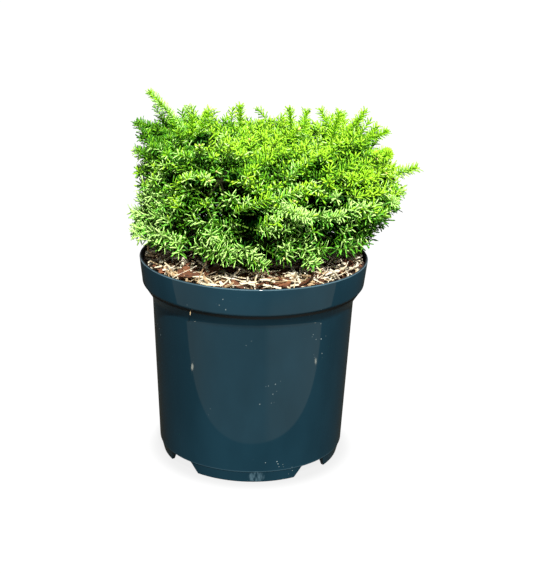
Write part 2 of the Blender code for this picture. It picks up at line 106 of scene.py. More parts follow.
# %% Write nodes
COLOUR_MIX_INPUTS = (0, 6, 7)  # a Mix node's factor and its two colours
COLOUR_MIX_OUTPUT = 2


def swatch(red, green, blue):
    """Linear colour of a swatch given from 0 to 255."""
    values = [channel / 255 for channel in (red, green, blue)]
    linear = [v / 12.92 if v <= 0.04045 else ((v + 0.055) / 1.055) ** 2.4 for v in values]
    return (*linear, 1.0)


def feed(tree, socket, value):
    """Link a socket to another node's output, or give it a value."""
    if isinstance(value, bpy.types.NodeSocket):
        tree.links.new(value, socket)
    else:
        socket.default_value = value


def add_node(tree, kind, settings=None, **inputs):
    """A node with its settings and the values or links of its inputs, named by socket."""
    node = tree.nodes.new(kind)
    for name, value in (settings or {}).items():
        setattr(node, name, value)
    for name, value in inputs.items():
        feed(tree, node.inputs[name.replace("_", " ")], value)
    return node


def maths(tree, operation, *values):
    """A number worked out from others, each a value or a link."""
    node = add_node(tree, "ShaderNodeMath", {"operation": operation})
    for socket, value in zip(node.inputs, values):
        feed(tree, socket, value)
    return node.outputs[0]


def distance(tree, point, centre=(0, 0, 0)):
    """How far a point lies from a centre."""
    node = add_node(tree, "ShaderNodeVectorMath", {"operation": "DISTANCE"})
    feed(tree, node.inputs[0], point)
    feed(tree, node.inputs[1], centre)
    return node.outputs["Value"]


def mapped(tree, value, start=0.0, end=1.0, smooth=False, **reach):
    """A value taken from start to end onto 0 to 1, or onto To_Min to To_Max."""
    settings = {"interpolation_type": "SMOOTHSTEP" if smooth else "LINEAR"}
    node = add_node(tree, "ShaderNodeMapRange", settings, Value=value, From_Min=start, From_Max=end, **reach)
    return node.outputs["Result"]


def mixed(tree, mask, first, second):
    """The first colour with the second laid over it where the mask is 1."""
    node = add_node(tree, "ShaderNodeMix", {"data_type": "RGBA"})
    for index, value in zip(COLOUR_MIX_INPUTS, (mask, first, second)):
        feed(tree, node.inputs[index], value)
    return node.outputs[COLOUR_MIX_OUTPUT]


def object_place(tree):
    """Where a point of the surface lies in its object."""
    return add_node(tree, "ShaderNodeTexCoord").outputs["Object"]


print("deep teal as linear:", [round(v, 3) for v in swatch(38, 66, 78)[:3]])

# %% [markdown]
# ## Two effects that the materials share
# Living and weathered things are never one flat colour. The first group drifts between two
# colours by a soft noise. The second gives a fine relief. Both can be drawn out along an axis,
# and both read the object's own space, so that nothing has to be unwrapped.

# %% Build the shared groups
FLOAT, COLOUR, VECTOR = "NodeSocketFloat", "NodeSocketColor", "NodeSocketVector"
DRIFT_CLEAR = (0.34, 0.66)    # the noise between these is spread over both colours


def new_group(name, inputs, outputs):
    """A shader node group with named sockets: (name, kind, default) and (name, kind)."""
    group = bpy.data.node_groups.new(name, "ShaderNodeTree")
    for socket_name, kind, default in inputs:
        socket = group.interface.new_socket(socket_name, in_out="INPUT", socket_type=kind)
        socket.default_value = default
    for socket_name, kind in outputs:
        group.interface.new_socket(socket_name, in_out="OUTPUT", socket_type=kind)
    return group, group.nodes.new("NodeGroupInput"), group.nodes.new("NodeGroupOutput")


def stretched_noise(group, entry, detail):
    """Noise in object space, drawn out by the group's Stretch."""
    spread = add_node(group, "ShaderNodeVectorMath", {"operation": "MULTIPLY"})
    feed(group, spread.inputs[0], object_place(group))
    feed(group, spread.inputs[1], entry.outputs["Stretch"])
    cloud = add_node(group, "ShaderNodeTexNoise", Vector=spread.outputs[0], Scale=entry.outputs["Scale"],
                     Detail=detail)
    return cloud.outputs["Fac"]


def build_colour_drift():
    """Group: a colour that drifts between two by a noise."""
    group, entry, leave = new_group(
        "colour_drift",
        [("First", COLOUR, (0.5, 0.5, 0.5, 1)), ("Second", COLOUR, (0.2, 0.2, 0.2, 1)),
         ("Scale", FLOAT, 100.0), ("Stretch", VECTOR, (1, 1, 1))],
        [("Colour", COLOUR), ("Mask", FLOAT)])
    mask = mapped(group, stretched_noise(group, entry, 3.0), *DRIFT_CLEAR)
    blend = mixed(group, mask, entry.outputs["First"], entry.outputs["Second"])
    feed(group, leave.inputs["Colour"], blend)
    feed(group, leave.inputs["Mask"], mask)
    return group


def build_relief():
    """Group: height of a fine grain."""
    group, entry, leave = new_group("relief", [("Scale", FLOAT, 600.0), ("Stretch", VECTOR, (1, 1, 1))],
                                    [("Height", FLOAT)])
    feed(group, leave.inputs["Height"], stretched_noise(group, entry, 4.0))
    return group


colour_drift = build_colour_drift()
relief = build_relief()
print("shared groups:", colour_drift.name, "and", relief.name)

# %% [markdown]
# Nearly every finish here is the same idea: two tones that drift, and a grain that the light
# catches. One function lays the drift and a second raises the grain, so that each material
# only states its own colours and sizes.

# %% Lay a finish
PLAIN_STRETCH = (1, 1, 1)


def new_surface(name, **values):
    """A material, its tree and its Principled shader with some plain values."""
    material = bpy.data.materials.new(name)
    material.use_nodes = True
    shader = material.node_tree.nodes["Principled BSDF"]
    for socket, value in values.items():
        shader.inputs[socket.replace("_", " ")].default_value = value
    return material, material.node_tree, shader


def place_group(tree, group, **inputs):
    """A shared group as a node in a material's tree."""
    return add_node(tree, "ShaderNodeGroup", {"node_tree": group}, **inputs)


def drifting_surface(name, first, second, scale, stretch=PLAIN_STRETCH, **values):
    """A surface whose colour drifts between two."""
    material, tree, shader = new_surface(name, **values)
    body = place_group(tree, colour_drift, First=first, Second=second, Scale=scale, Stretch=stretch)
    feed(tree, shader.inputs["Base Color"], body.outputs["Colour"])
    return material, tree, shader


def raise_grain(tree, shader, strength, depth, scale, stretch=PLAIN_STRETCH):
    """A fine relief on a surface."""
    height = place_group(tree, relief, Scale=scale, Stretch=stretch).outputs["Height"]
    bump = add_node(tree, "ShaderNodeBump", Height=height, Strength=strength, Distance=depth)
    feed(tree, shader.inputs["Normal"], bump.outputs["Normal"])


print("a pattern that isn't drawn out:", PLAIN_STRETCH)

# %% [markdown]
# ## Helpers for pieces
# Every finished piece is a mesh in its true place with its object left at the origin. It rides on the frame's
# one body, takes its material, and hides the frame's solids that it stands for.

# %% Finish a piece
BODY = "root"


def finish_piece(name, mesh, material, replaced=(), smooth_angle=None):
    """Make an object of a mesh, shade it, and tie it to the frame."""
    mesh.materials.clear()
    mesh.materials.append(material)
    piece = put(name, mesh)
    if smooth_angle is not None:
        mesh.shade_smooth()
        mesh.set_sharp_from_angle(angle=smooth_angle)
    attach(piece, BODY)
    if replaced:
        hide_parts(*replaced)
    print(f"{name}: {len(mesh.polygons)} faces")
    return piece


def mesh_from(name, work):
    """Turn a bmesh into a mesh and free it."""
    mesh = bpy.data.meshes.new(name)
    work.to_mesh(mesh)
    work.free()
    return mesh


print("pieces ride on", BODY)

# %% [markdown]
# Round things are turned on a lathe in life and here: a profile is drawn once and spun about
# its axis. Round stretches of a profile are arcs, so no edge is left knife sharp.

# %% Turn a profile
MERGE = 0.00001               # points closer than this are one


def turned(profile, steps):
    """Turn a closed profile of (radius, height) points round Z into a bmesh."""
    work = bmesh.new()
    row = [work.verts.new((radius, 0.0, height)) for radius, height in profile]
    edges = [work.edges.new(pair) for pair in zip(row, row[1:])]
    bmesh.ops.spin(work, geom=row + edges, cent=(0, 0, 0), axis=(0, 0, 1), angle=math.tau,
                   steps=steps, use_merge=True)
    bmesh.ops.remove_doubles(work, verts=work.verts, dist=MERGE)
    bmesh.ops.recalc_face_normals(work, faces=work.faces)
    return work


def arc(centre, radius, start, end, steps):
    """Points (radius, height) on a round stretch of a profile, angles in degrees."""
    angles = [math.radians(start + (end - start) * step / steps) for step in range(steps + 1)]
    return [(centre[0] + radius * math.cos(a), centre[1] + radius * math.sin(a)) for a in angles]


print("an arc of a quarter turn:", arc((0, 0), 1, 0, 90, 2))

# %% [markdown]
# ## The container
# A nursery pot is blown or moulded in one thin wall. It could be built as a solid and hollowed,
# but a wall profile turned once round gives the lip, the collar's round shoulder, the stepped
# skirt and the inside in one go. The gaps between its feet are cut afterwards.

# %% Measure the container
POT_HEIGHT = 0.173
RIM_RADIUS = 0.095
LIP_ROUND = 0.0009
LIP_DRAFT = 0.0001            # the lip's inner side stands back by this much
COLLAR_FOOT_RADIUS = 0.0928
COLLAR_FOOT_HEIGHT = 0.1525
COLLAR_ROUND = 0.0032
BODY_TOP_RADIUS = 0.0843
BODY_TOP_HEIGHT = 0.1385
UNDER_COLLAR = ((0.0014, 0.0022), (0.0004, 0.0), (0.0, -0.0022))    # the soft corner there, out and up
BODY_FOOT_RADIUS = 0.0787
SKIRT_HEIGHT = 0.011
SKIRT_STEP = 0.0007
SOLE_RADIUS = 0.0758
SOLE_ROUND = 0.0012
SOLE_WIDTH = 0.0032
WALL = 0.0018
FLOOR_ROUND = 0.0015
COLLAR_THICK = 0.0006         # the wall is this much thicker at the collar's foot
COLLAR_DROP = 0.0004
PAD_RADIUS = 0.020


def pot_outside():
    """The container's outer side, from the lip down to the sole."""
    lip = arc((RIM_RADIUS - LIP_ROUND, POT_HEIGHT - LIP_ROUND), LIP_ROUND, 90, 0, 6)
    shoulder = arc((COLLAR_FOOT_RADIUS - COLLAR_ROUND, COLLAR_FOOT_HEIGHT), COLLAR_ROUND, 0, -50, 7)
    corner = [(BODY_TOP_RADIUS + out, BODY_TOP_HEIGHT + up) for out, up in UNDER_COLLAR]
    step = arc((BODY_FOOT_RADIUS - SKIRT_STEP, SKIRT_HEIGHT), SKIRT_STEP, 0, -80, 3)
    sole = arc((SOLE_RADIUS - SOLE_ROUND, SOLE_ROUND), SOLE_ROUND, -5, -90, 5)
    return lip + shoulder + corner + step + sole


def pot_inside():
    """The container's inner side, from the floor's edge up to the lip."""
    return [(BODY_FOOT_RADIUS - WALL - FLOOR_ROUND, SKIRT_HEIGHT + WALL),
            (BODY_FOOT_RADIUS - WALL, SKIRT_HEIGHT + WALL + FLOOR_ROUND),
            (BODY_TOP_RADIUS - WALL, BODY_TOP_HEIGHT + COLLAR_DROP),
            (COLLAR_FOOT_RADIUS - WALL - COLLAR_THICK, COLLAR_FOOT_HEIGHT - COLLAR_DROP),
            (RIM_RADIUS - WALL - LIP_DRAFT, POT_HEIGHT - LIP_ROUND)]


def inner_radius(height):
    """Radius of the container's inner side at a height."""
    wall = pot_inside()
    for (low_radius, low), (high_radius, high) in zip(wall, wall[1:]):
        if height <= high:
            return low_radius + (high_radius - low_radius) * (height - low) / (high - low)
    return wall[-1][0]


print("the wall's outer profile has", len(pot_outside()), "points")

# %% [markdown]
# Each gap between two feet is wider at the sole than at its top and has round corners. One
# block is pushed out through the skirt for it, and a short drill opens each drain hole. A
# Boolean cuts true corners, which pushing the wall's own vertices about would not.

# %% Shape the container
POT_STEPS = 160
FEET = 4
FEET_TURN = math.radians(-92.7)
NOTCH_HEIGHT = 0.0105
NOTCH_FOOT_HALF = 0.0176
NOTCH_TOP_HALF = 0.0116
NOTCH_ROUND = 0.0022
NOTCH_STRAIGHT = 0.002        # its sides slope alike as far up as this
NOTCH_DEEPER = 0.004          # it starts this far inside the drain holes' circle
DRAIN_RADIUS = 0.0045
DRAIN_FROM_AXIS = 0.060


def notch_cutter(direction):
    """A block that cuts the gap between two feet."""
    slope = (NOTCH_FOOT_HALF - NOTCH_TOP_HALF) / NOTCH_HEIGHT
    below = NOTCH_HEIGHT * 0.5
    half = [(NOTCH_FOOT_HALF + slope * below, -below),
            (NOTCH_FOOT_HALF - slope * NOTCH_STRAIGHT, NOTCH_STRAIGHT)]
    half += arc((NOTCH_TOP_HALF - NOTCH_ROUND * 0.4, NOTCH_HEIGHT - NOTCH_ROUND), NOTCH_ROUND, 35, 90, 6)
    outline = half + [(-across, height) for across, height in reversed(half)]
    near = DRAIN_FROM_AXIS - NOTCH_DEEPER
    work = bmesh.new()
    face = work.faces.new([work.verts.new((near, across, height)) for across, height in outline])
    grown = bmesh.ops.extrude_face_region(work, geom=[face])
    moved = [item for item in grown["geom"] if isinstance(item, bmesh.types.BMVert)]
    bmesh.ops.translate(work, verts=moved, vec=(RIM_RADIUS - near, 0, 0))
    bmesh.ops.recalc_face_normals(work, faces=work.faces)
    bmesh.ops.rotate(work, verts=work.verts, matrix=Matrix.Rotation(direction, 3, "Z"))
    return work


def drain_cutter(direction):
    """A drill for one drain hole through the floor."""
    work = bmesh.new()
    bmesh.ops.create_cone(work, cap_ends=True, segments=32, radius1=DRAIN_RADIUS, radius2=DRAIN_RADIUS,
                          depth=4 * WALL)
    place = (DRAIN_FROM_AXIS * math.cos(direction), DRAIN_FROM_AXIS * math.sin(direction),
             SKIRT_HEIGHT + WALL / 2)
    bmesh.ops.translate(work, verts=work.verts, vec=place)
    return work


def cut_away(mesh, cutters):
    """The mesh less its cutters, by Boolean modifiers that are applied at once."""
    body = put("being_cut", mesh)
    tools = [put("cutter", mesh_from("cutter", work)) for work in cutters]
    for tool in tools:
        cut = body.modifiers.new("Cut", "BOOLEAN")
        cut.operation = "DIFFERENCE"
        cut.object = tool
    result = bpy.data.meshes.new_from_object(body.evaluated_get(bpy.context.evaluated_depsgraph_get()))
    for item in [body, *tools]:
        bpy.data.objects.remove(item, do_unlink=True)
    return result


def build_pot_mesh():
    """The turned wall with its gaps and drain holes."""
    floor = SKIRT_HEIGHT
    sole_inner = SOLE_RADIUS - SOLE_WIDTH
    inside = [(0.0, WALL), (PAD_RADIUS - WALL, WALL), (PAD_RADIUS - WALL, floor + WALL)] + pot_inside()
    lip_middle = (RIM_RADIUS - WALL + LIP_ROUND - LIP_DRAFT, POT_HEIGHT - LIP_ROUND)
    lip_inner = arc(lip_middle, LIP_ROUND, 180, 100, 5)
    underside = [(sole_inner, 0.0), (sole_inner, floor), (PAD_RADIUS, floor), (PAD_RADIUS, 0.0), (0.0, 0.0)]
    wall = mesh_from("wall", turned(inside + lip_inner[1:] + pot_outside() + underside, POT_STEPS))
    turns = [FEET_TURN + math.tau * (foot + 0.5) / FEET for foot in range(FEET)]
    return cut_away(wall, [cutter(turn) for turn in turns for cutter in (notch_cutter, drain_cutter)])


pot_mesh = build_pot_mesh()
print("container:", len(pot_mesh.polygons), "faces")

# %% [markdown]
# The plastic is a deep teal grey and glossy. Small marks are each a mask of their own: dried drops and specks
# of potting dust that make it look used, a painted highlight on the lip and the step, a painted reflection
# streaked like scuffs on the front foot, a darker inner half of the lip's top and a painted shade line under
# the collar. A faint unevenness of the moulding bends reflections.

# %% Finish the container
TEAL = swatch(22, 51, 64)
TEAL_DARK = swatch(18, 45, 57)
DUST = swatch(150, 165, 165)
# Painted highlight on the lip and the step, and painted reflection on the front foot.
PAINTED_HIGHLIGHT = swatch(74, 100, 112)
# Darker inner half of the lip's top, and the painted shade line under the collar.
LIP_AND_COLLAR_DARK = swatch(12, 17, 18)
SPECK_SIZE = (0.16, 0.08)     # a speck fades in between these distances from its middle
SPECK_PATCHES = (0.60, 0.70)  # and shows only where a wider noise passes these
# The painted highlights are broken up where a wider noise passes these, down to the least share.
HIGHLIGHT_PATCHES = (0.30, 0.55)
HIGHLIGHT_LEAST = 0.45
COLLAR_LINE = 0.1486          # painted shade: a dark line runs round under the collar at this height
COLLAR_LINE_HALF = 0.0020
STEP_HIGHLIGHT = 0.35              # how bright the skirt step's painted highlight is beside the lip's
FOOT_REFLECTION = Vector((0.0055, -0.078, 0.0055))       # where a painted reflection streaks the front foot pale
FOOT_REFLECTION_HALF = Vector((0.0075, 0.02, 0.0062))
STREAK_DRAWN = (1, 1, 0.06)
STREAK_CLEAR = (0.34, 0.70)
# Roughness of clean plastic, and of the dust, the darker lip and the painted shade line.
CLEAN_ROUGHNESS = 0.05
DUST_AND_DARK_ROUGHNESS = 0.8


def near_height(tree, parts, height, reach):
    """A mask that is 1 at a height and falls to 0 within its reach."""
    away = maths(tree, "ABSOLUTE", maths(tree, "SUBTRACT", parts.outputs["Z"], height))
    return mapped(tree, away, reach, 0.4 * reach)


def lip_dark_inner(tree, parts):
    """A mask of the inner half of the lip's top, which is darker."""
    flat = add_node(tree, "ShaderNodeCombineXYZ", X=parts.outputs["X"], Y=parts.outputs["Y"])
    inner = mapped(tree, distance(tree, flat.outputs["Vector"]), RIM_RADIUS - 0.6 * LIP_ROUND,
                   RIM_RADIUS - 0.9 * LIP_ROUND)
    above = maths(tree, "GREATER_THAN", parts.outputs["Z"], POT_HEIGHT - 2.5 * LIP_ROUND)
    return maths(tree, "MULTIPLY", inner, above)


def foot_reflection(tree, place):
    """A mask of upright pale streaks on the front foot: a painted reflection."""
    near = add_node(tree, "ShaderNodeMapping", {"vector_type": "TEXTURE"}, Vector=place, Location=FOOT_REFLECTION,
                    Scale=FOOT_REFLECTION_HALF)
    patch = mapped(tree, distance(tree, near.outputs["Vector"]), 1.0, 0.7)
    long = add_node(tree, "ShaderNodeMapping", Vector=place, Scale=STREAK_DRAWN)
    streak = add_node(tree, "ShaderNodeTexNoise", Vector=long.outputs["Vector"], Scale=620.0, Detail=1.0)
    return maths(tree, "MULTIPLY", patch, mapped(tree, streak.outputs["Fac"], *STREAK_CLEAR))


def painted_highlights(tree, place, parts, patches):
    """A mask of painted highlights on the lip and the skirt's step and a painted reflection on the front
    foot, broken up here and there.
    """
    lip = near_height(tree, parts, POT_HEIGHT - 0.6 * LIP_ROUND, 0.6 * LIP_ROUND)
    edge = maths(tree, "MULTIPLY_ADD", near_height(tree, parts, SKIRT_HEIGHT, SKIRT_STEP), STEP_HIGHLIGHT, lip)
    broken_highlights = maths(tree, "MULTIPLY", edge, mapped(tree, patches, *HIGHLIGHT_PATCHES, To_Min=HIGHLIGHT_LEAST))
    return maths(tree, "ADD", broken_highlights, foot_reflection(tree, place))


def container_plastic():
    """Glossy dark plastic with dust, painted highlights, a painted reflection, a darker lip, painted shade
    under the collar and a slight unevenness.
    """
    material, tree, shader = new_surface("container_plastic", Specular_IOR_Level=0.45)
    place = object_place(tree)
    parts = add_node(tree, "ShaderNodeSeparateXYZ", Vector=place)
    specks = add_node(tree, "ShaderNodeTexVoronoi", Vector=place, Scale=260.0)
    patches = add_node(tree, "ShaderNodeTexNoise", Vector=place, Scale=38.0, Detail=2.0).outputs["Fac"]
    dusty = maths(tree, "MULTIPLY", mapped(tree, specks.outputs["Distance"], *SPECK_SIZE),
                  mapped(tree, patches, *SPECK_PATCHES))
    # The lip's darker inner half, and painted shade under the collar.
    lip_and_collar_dark = maths(tree, "MAXIMUM", lip_dark_inner(tree, parts),
                   near_height(tree, parts, COLLAR_LINE, COLLAR_LINE_HALF))
    body = place_group(tree, colour_drift, First=TEAL, Second=TEAL_DARK, Scale=26.0, Stretch=(1, 1, 0.5))
    colour = mixed(tree, dusty, body.outputs["Colour"], DUST)
    # Painted highlights on the lip and the step and a painted reflection on the front foot.
    colour = mixed(tree, painted_highlights(tree, place, parts, patches), colour, PAINTED_HIGHLIGHT)
    feed(tree, shader.inputs["Base Color"], mixed(tree, lip_and_collar_dark, colour, LIP_AND_COLLAR_DARK))
    dust_and_dark = maths(tree, "MAXIMUM", dusty, lip_and_collar_dark)
    rough = mapped(tree, dust_and_dark, To_Min=CLEAN_ROUGHNESS, To_Max=DUST_AND_DARK_ROUGHNESS)
    feed(tree, shader.inputs["Roughness"], rough)
    raise_grain(tree, shader, 0.02, 0.0006, 55.0, (1, 1, 0.35))
    return material


finish_piece("pot_shell", pot_mesh, container_plastic(), ["pot"],
             smooth_angle=math.radians(28))

# %% [markdown]
# ## The potting mix
# Dark, crumbly mix fills the pot. Only its top shows, and its underside through the drain
# holes. It is turned like the pot, and the rings of its top are then lifted into heaps.

# %% Heap the mix
GAP = 0.0003                  # the mix stays this far off the wall
MIX_STEPS = 120
MIX_RINGS = 46
MIX_EDGE_HEIGHT = 0.1672
MIX_HEAP = 0.0034
MIX_TILT = 0.0016
MIX_ROUGH = 0.0009
CRUMB = 0.0011
MIX_CORNER = 0.003            # its lower edge is cut off by this much


def mix_height(x, y):
    """Height of the mix's surface, with its heap, its tilt and its crumbs."""
    across = math.hypot(x, y) / RIM_RADIUS
    heap = MIX_HEAP * (1 - across ** 4)
    waves = math.sin(x * 190 + 1.1) * math.cos(y * 170 - 0.6) + 0.6 * math.sin((x + y) * 330)
    crumbs = noise.noise(Vector((x, y, 0.3)) * 420) + 0.5 * noise.noise(Vector((x, y, 0.9)) * 900)
    return MIX_EDGE_HEIGHT + heap + MIX_TILT * x / RIM_RADIUS + MIX_ROUGH * waves + CRUMB * crumbs


def build_mix_mesh():
    """The filling: a turned solid whose top rings follow the heap."""
    floor = SKIRT_HEIGHT + WALL + GAP
    dip = PAD_RADIUS - WALL - GAP
    heights = (floor + MIX_CORNER, BODY_TOP_HEIGHT, COLLAR_FOOT_HEIGHT, MIX_EDGE_HEIGHT)
    wall = [(inner_radius(height) - 2 * GAP, height) for height in heights]
    edge = wall[-1][0]
    top = [(edge * (1 - ring / MIX_RINGS), MIX_EDGE_HEIGHT) for ring in range(1, MIX_RINGS + 1)]
    profile = [(0.0, WALL + GAP), (dip, WALL + GAP), (dip, floor),
               (BODY_FOOT_RADIUS - WALL - MIX_CORNER, floor)]
    work = turned(profile + wall + top, MIX_STEPS)
    for vertex in work.verts:
        x, y, z = vertex.co
        if z > MIX_EDGE_HEIGHT - MERGE:
            vertex.co.z = mix_height(x, y)
    return mesh_from("potting_mix", work)


def rough_surface(name, first, second, scale, roughness, strength, grain, depth=0.0004):
    """A matt finish of two tones with a raised grain."""
    material, tree, shader = drifting_surface(name, first, second, scale, Roughness=roughness)
    raise_grain(tree, shader, strength, depth, grain)
    return material


potting_soil = rough_surface("potting_soil", swatch(84, 58, 40), swatch(26, 18, 12), 330.0, 0.95, 0.8, 900.0,
                             depth=0.0008)
finish_piece("potting_mix_top", build_mix_mesh(), potting_soil, ["potting_mix"],
             smooth_angle=math.radians(50))

# %% [markdown]
# ## The mulch
# Shredded wood covers the mix: pale splinters that lie across each other in every direction,
# with chips of red-brown bark between them. Each could be its own object, but hundreds of them
# are lighter as one joined mesh of each kind. A splinter is a flat tube along a short curved
# path, worked out as arrays, because that is many times faster than an operator for each.

# %% Gather small tubes


def tube_arrays(path, radii, sides, flat=1.0, roll=0.0):
    """Points and triangles of a closed tube along a path, flattened across if asked."""
    path = [Vector(point) for point in path]
    ways = [(b - a).normalized() for a, b in zip(path, path[1:])]
    ways = [ways[0]] + [(a + b).normalized() for a, b in zip(ways, ways[1:])] + [ways[-1]]
    side = ways[0].orthogonal().normalized()
    side = Matrix.Rotation(roll, 3, ways[0]) @ side
    points, triangles = [], []
    for place, way, radius in zip(path, ways, radii):
        side = (side - way * side.dot(way)).normalized()
        up = way.cross(side)
        for step in range(sides):
            angle = math.tau * step / sides
            points.append(place + side * (radius * math.cos(angle)) + up * (radius * flat * math.sin(angle)))
    end = (len(path) - 1) * sides
    for row in range(0, end, sides):
        for step in range(sides):
            a, b = row + step, row + (step + 1) % sides
            c, d = a + sides, b + sides
            triangles += [(a, b, d), (a, d, c)]
    first, last = len(points), len(points) + 1
    points += [path[0] - ways[0] * radii[0] * 0.3, path[-1] + ways[-1] * radii[-1] * 0.3]
    for step in range(sides):
        a, b = step, (step + 1) % sides
        triangles += [(first, b, a), (last, end + a, end + b)]
    return points, triangles


def mesh_of_triangles(name, points, triangles):
    """A mesh from an array of points and an array of triangles."""
    mesh = bpy.data.meshes.new(name)
    mesh.vertices.add(len(points))
    mesh.vertices.foreach_set("co", np.asarray(points, np.float32).ravel())
    mesh.loops.add(3 * len(triangles))
    mesh.loops.foreach_set("vertex_index", np.asarray(triangles, np.int32).ravel())
    mesh.polygons.add(len(triangles))
    mesh.polygons.foreach_set("loop_start", np.arange(0, 3 * len(triangles), 3, dtype=np.int32))
    mesh.update(calc_edges=True)
    return mesh


class Heap:
    """Many small closed pieces gathered into one mesh."""

    def __init__(self):
        self.points, self.triangles, self.count = [], [], 0

    def add(self, points, triangles):
        self.points.append(np.array([tuple(point) for point in points], float))
        self.triangles.append(np.array(triangles, np.int64) + self.count)
        self.count += len(points)

    def mesh(self, name):
        return mesh_of_triangles(name, np.vstack(self.points), np.vstack(self.triangles))


print("a plain tube of two rows has", len(tube_arrays([(0, 0, 0), (0, 0, 1)], (1, 1), 5)[1]), "faces")

# %% [markdown]
# The splinters pile up a few millimetres. Each takes its own length, bend and level in the
# pile. Most lie nearly flat and some stand up, which is what makes strewn wood look loose.

# %% Strew the splinters
rng_mulch = random.Random("mulch 5")
MULCH_RADIUS = 0.0900
PILE = 0.0062                 # how high the splinters pile up
PILE_FOOT = MIX_EDGE_HEIGHT + MIX_HEAP * 0.6
SPLINTERS = 880
SPLINTER_LENGTHS = (0.009, 0.014, 0.019, 0.025, 0.031)
SPLINTER_WIDTHS = (0.0005, 0.0013)
SPLINTER_STATIONS = 6
PALE_SHARE = 0.75
TILTS = (0.2, 0.3, 0.6)


def mulch_spot(rng, outermost=MULCH_RADIUS):
    """A random place on the mix, with even spread."""
    radius = outermost * math.sqrt(rng.random())
    angle = rng.uniform(0, math.tau)
    return radius * math.cos(angle), radius * math.sin(angle)


def splinter(rng, level):
    """Path and radii of one curved splinter that lies on the mix at a level of the pile."""
    length = rng.choice(SPLINTER_LENGTHS) * rng.uniform(0.8, 1.2)
    width = rng.uniform(*SPLINTER_WIDTHS)
    x, y = mulch_spot(rng)
    turn = rng.uniform(0, math.tau)
    bend = rng.uniform(-0.9, 0.9)
    tilt = rng.gauss(0, rng.choice(TILTS))
    path, radii = [], []
    for station in range(SPLINTER_STATIONS):
        share = station / (SPLINTER_STATIONS - 1) - 0.5
        heading = turn + bend * share
        px = x + length * share * math.cos(heading)
        py = y + length * share * math.sin(heading)
        out = math.hypot(px, py)
        if out > MULCH_RADIUS:
            px, py = px * MULCH_RADIUS / out, py * MULCH_RADIUS / out
        lift = width + PILE * level + length * share * tilt
        path.append((px, py, mix_height(px, py) * 0.4 + 0.6 * PILE_FOOT + lift))
        radii.append(width * (0.55 + 0.45 * math.cos(share * 2.2)) * rng.uniform(0.8, 1.15))
    return path, radii


def build_splinters():
    """Pale and weathered splinters, in two heaps."""
    heaps = {"pale": Heap(), "tan": Heap()}
    for _ in range(SPLINTERS):
        path, radii = splinter(rng_mulch, rng_mulch.random())
        kind = "pale" if rng_mulch.random() < PALE_SHARE else "tan"
        heaps[kind].add(*tube_arrays(path, radii, 5, flat=rng_mulch.uniform(0.35, 0.7),
                                     roll=rng_mulch.uniform(-0.5, 0.5)))
    return heaps


splinters = build_splinters()
print("splinters:", {kind: len(heap.points) for kind, heap in splinters.items()})

# %% [markdown]
# A bark chip is a thin flake with an uneven outline. Each starts as a ball of few faces that is
# pressed flat, roughened and laid down at a slant.

# %% Scatter the chips
CHIPS = 260
CHIP_LENGTHS = (0.0035, 0.0115)
CHIP_THICK = (0.0007, 0.0016)
CHIP_INSET = 0.004            # chips keep this far inside the mulch's edge


def chip_mesh(rng):
    """One bark flake in its place."""
    long_side = rng.uniform(*CHIP_LENGTHS)
    wide_side = long_side * rng.uniform(0.45, 0.8)
    thick = rng.uniform(*CHIP_THICK)
    x, y = mulch_spot(rng, MULCH_RADIUS - CHIP_INSET)
    work = bmesh.new()
    bmesh.ops.create_uvsphere(work, u_segments=7, v_segments=4, radius=1)
    for vertex in work.verts:
        swell = rng.uniform(0.72, 1.12)
        px, py, pz = vertex.co
        pressed = math.copysign(abs(pz) ** 0.6, pz)
        vertex.co = Vector((px * long_side * swell, py * wide_side * swell, pressed * thick))
    turn = Matrix.Rotation(rng.uniform(0, math.tau), 4, "Z")
    slant = Matrix.Rotation(rng.gauss(0, 0.35), 4, "X") @ Matrix.Rotation(rng.gauss(0, 0.3), 4, "Y")
    height = PILE_FOOT + PILE * 0.9 * rng.random()
    bmesh.ops.transform(work, matrix=Matrix.Translation((x, y, height)) @ turn @ slant, verts=work.verts)
    bmesh.ops.triangulate(work, faces=work.faces)
    return work


def build_chips():
    """All the chips in one heap."""
    heap = Heap()
    for _ in range(CHIPS):
        work = chip_mesh(rng_mulch)
        work.verts.index_update()
        heap.add([vertex.co for vertex in work.verts],
                 [[vertex.index for vertex in face.verts] for face in work.faces])
        work.free()
    return heap


MULCH = (                     # each kind's heap, finish, two tones, roughness and smooth angle
    ("splinters_pale", splinters["pale"], "pale_wood", (238, 230, 210), (206, 190, 154), 0.7, 0.6),
    ("splinters_tan", splinters["tan"], "tan_wood", (206, 180, 138), (140, 110, 76), 0.8, 0.6),
    ("chips", build_chips(), "chip_bark", (132, 82, 52), (66, 39, 25), 0.85, 0.5),
)
for kind, heap, finish, first, second, roughness, angle in MULCH:
    wood = rough_surface(finish, swatch(*first), swatch(*second), 160.0, roughness, 0.6, 1100.0)
    finish_piece(f"mulch_{kind}", heap.mesh(kind), wood, smooth_angle=angle)

# %% [markdown]
# ## The stem and the boughs
# One short stem stands on the mix and forks low. A limb starts as a plain cylinder, is cut into
# rows, and every vertex is then moved out along the limb's own path with the bark's furrows
# added, so the relief is real at its scale.

# %% Shape a limb
LIMB_RIDGES = (900, 160, 0.7)    # noise round a limb, along it, and its share of the relief
LIMB_FLAKES = (1500, 700, 0.45)


def furrows(angle, along, seed, girth):
    """How far bark stands out at a point of a limb, from -1 to 1: long ridges, broken up."""
    around = Vector((math.cos(angle), math.sin(angle), 0)) * girth
    wide, high, share = LIMB_RIDGES
    ridges = share * noise.noise(around * wide + Vector((seed, 0, along * high)))
    wide, high, share = LIMB_FLAKES
    return ridges + share * noise.noise(around * wide + Vector((0, seed, along * high)))


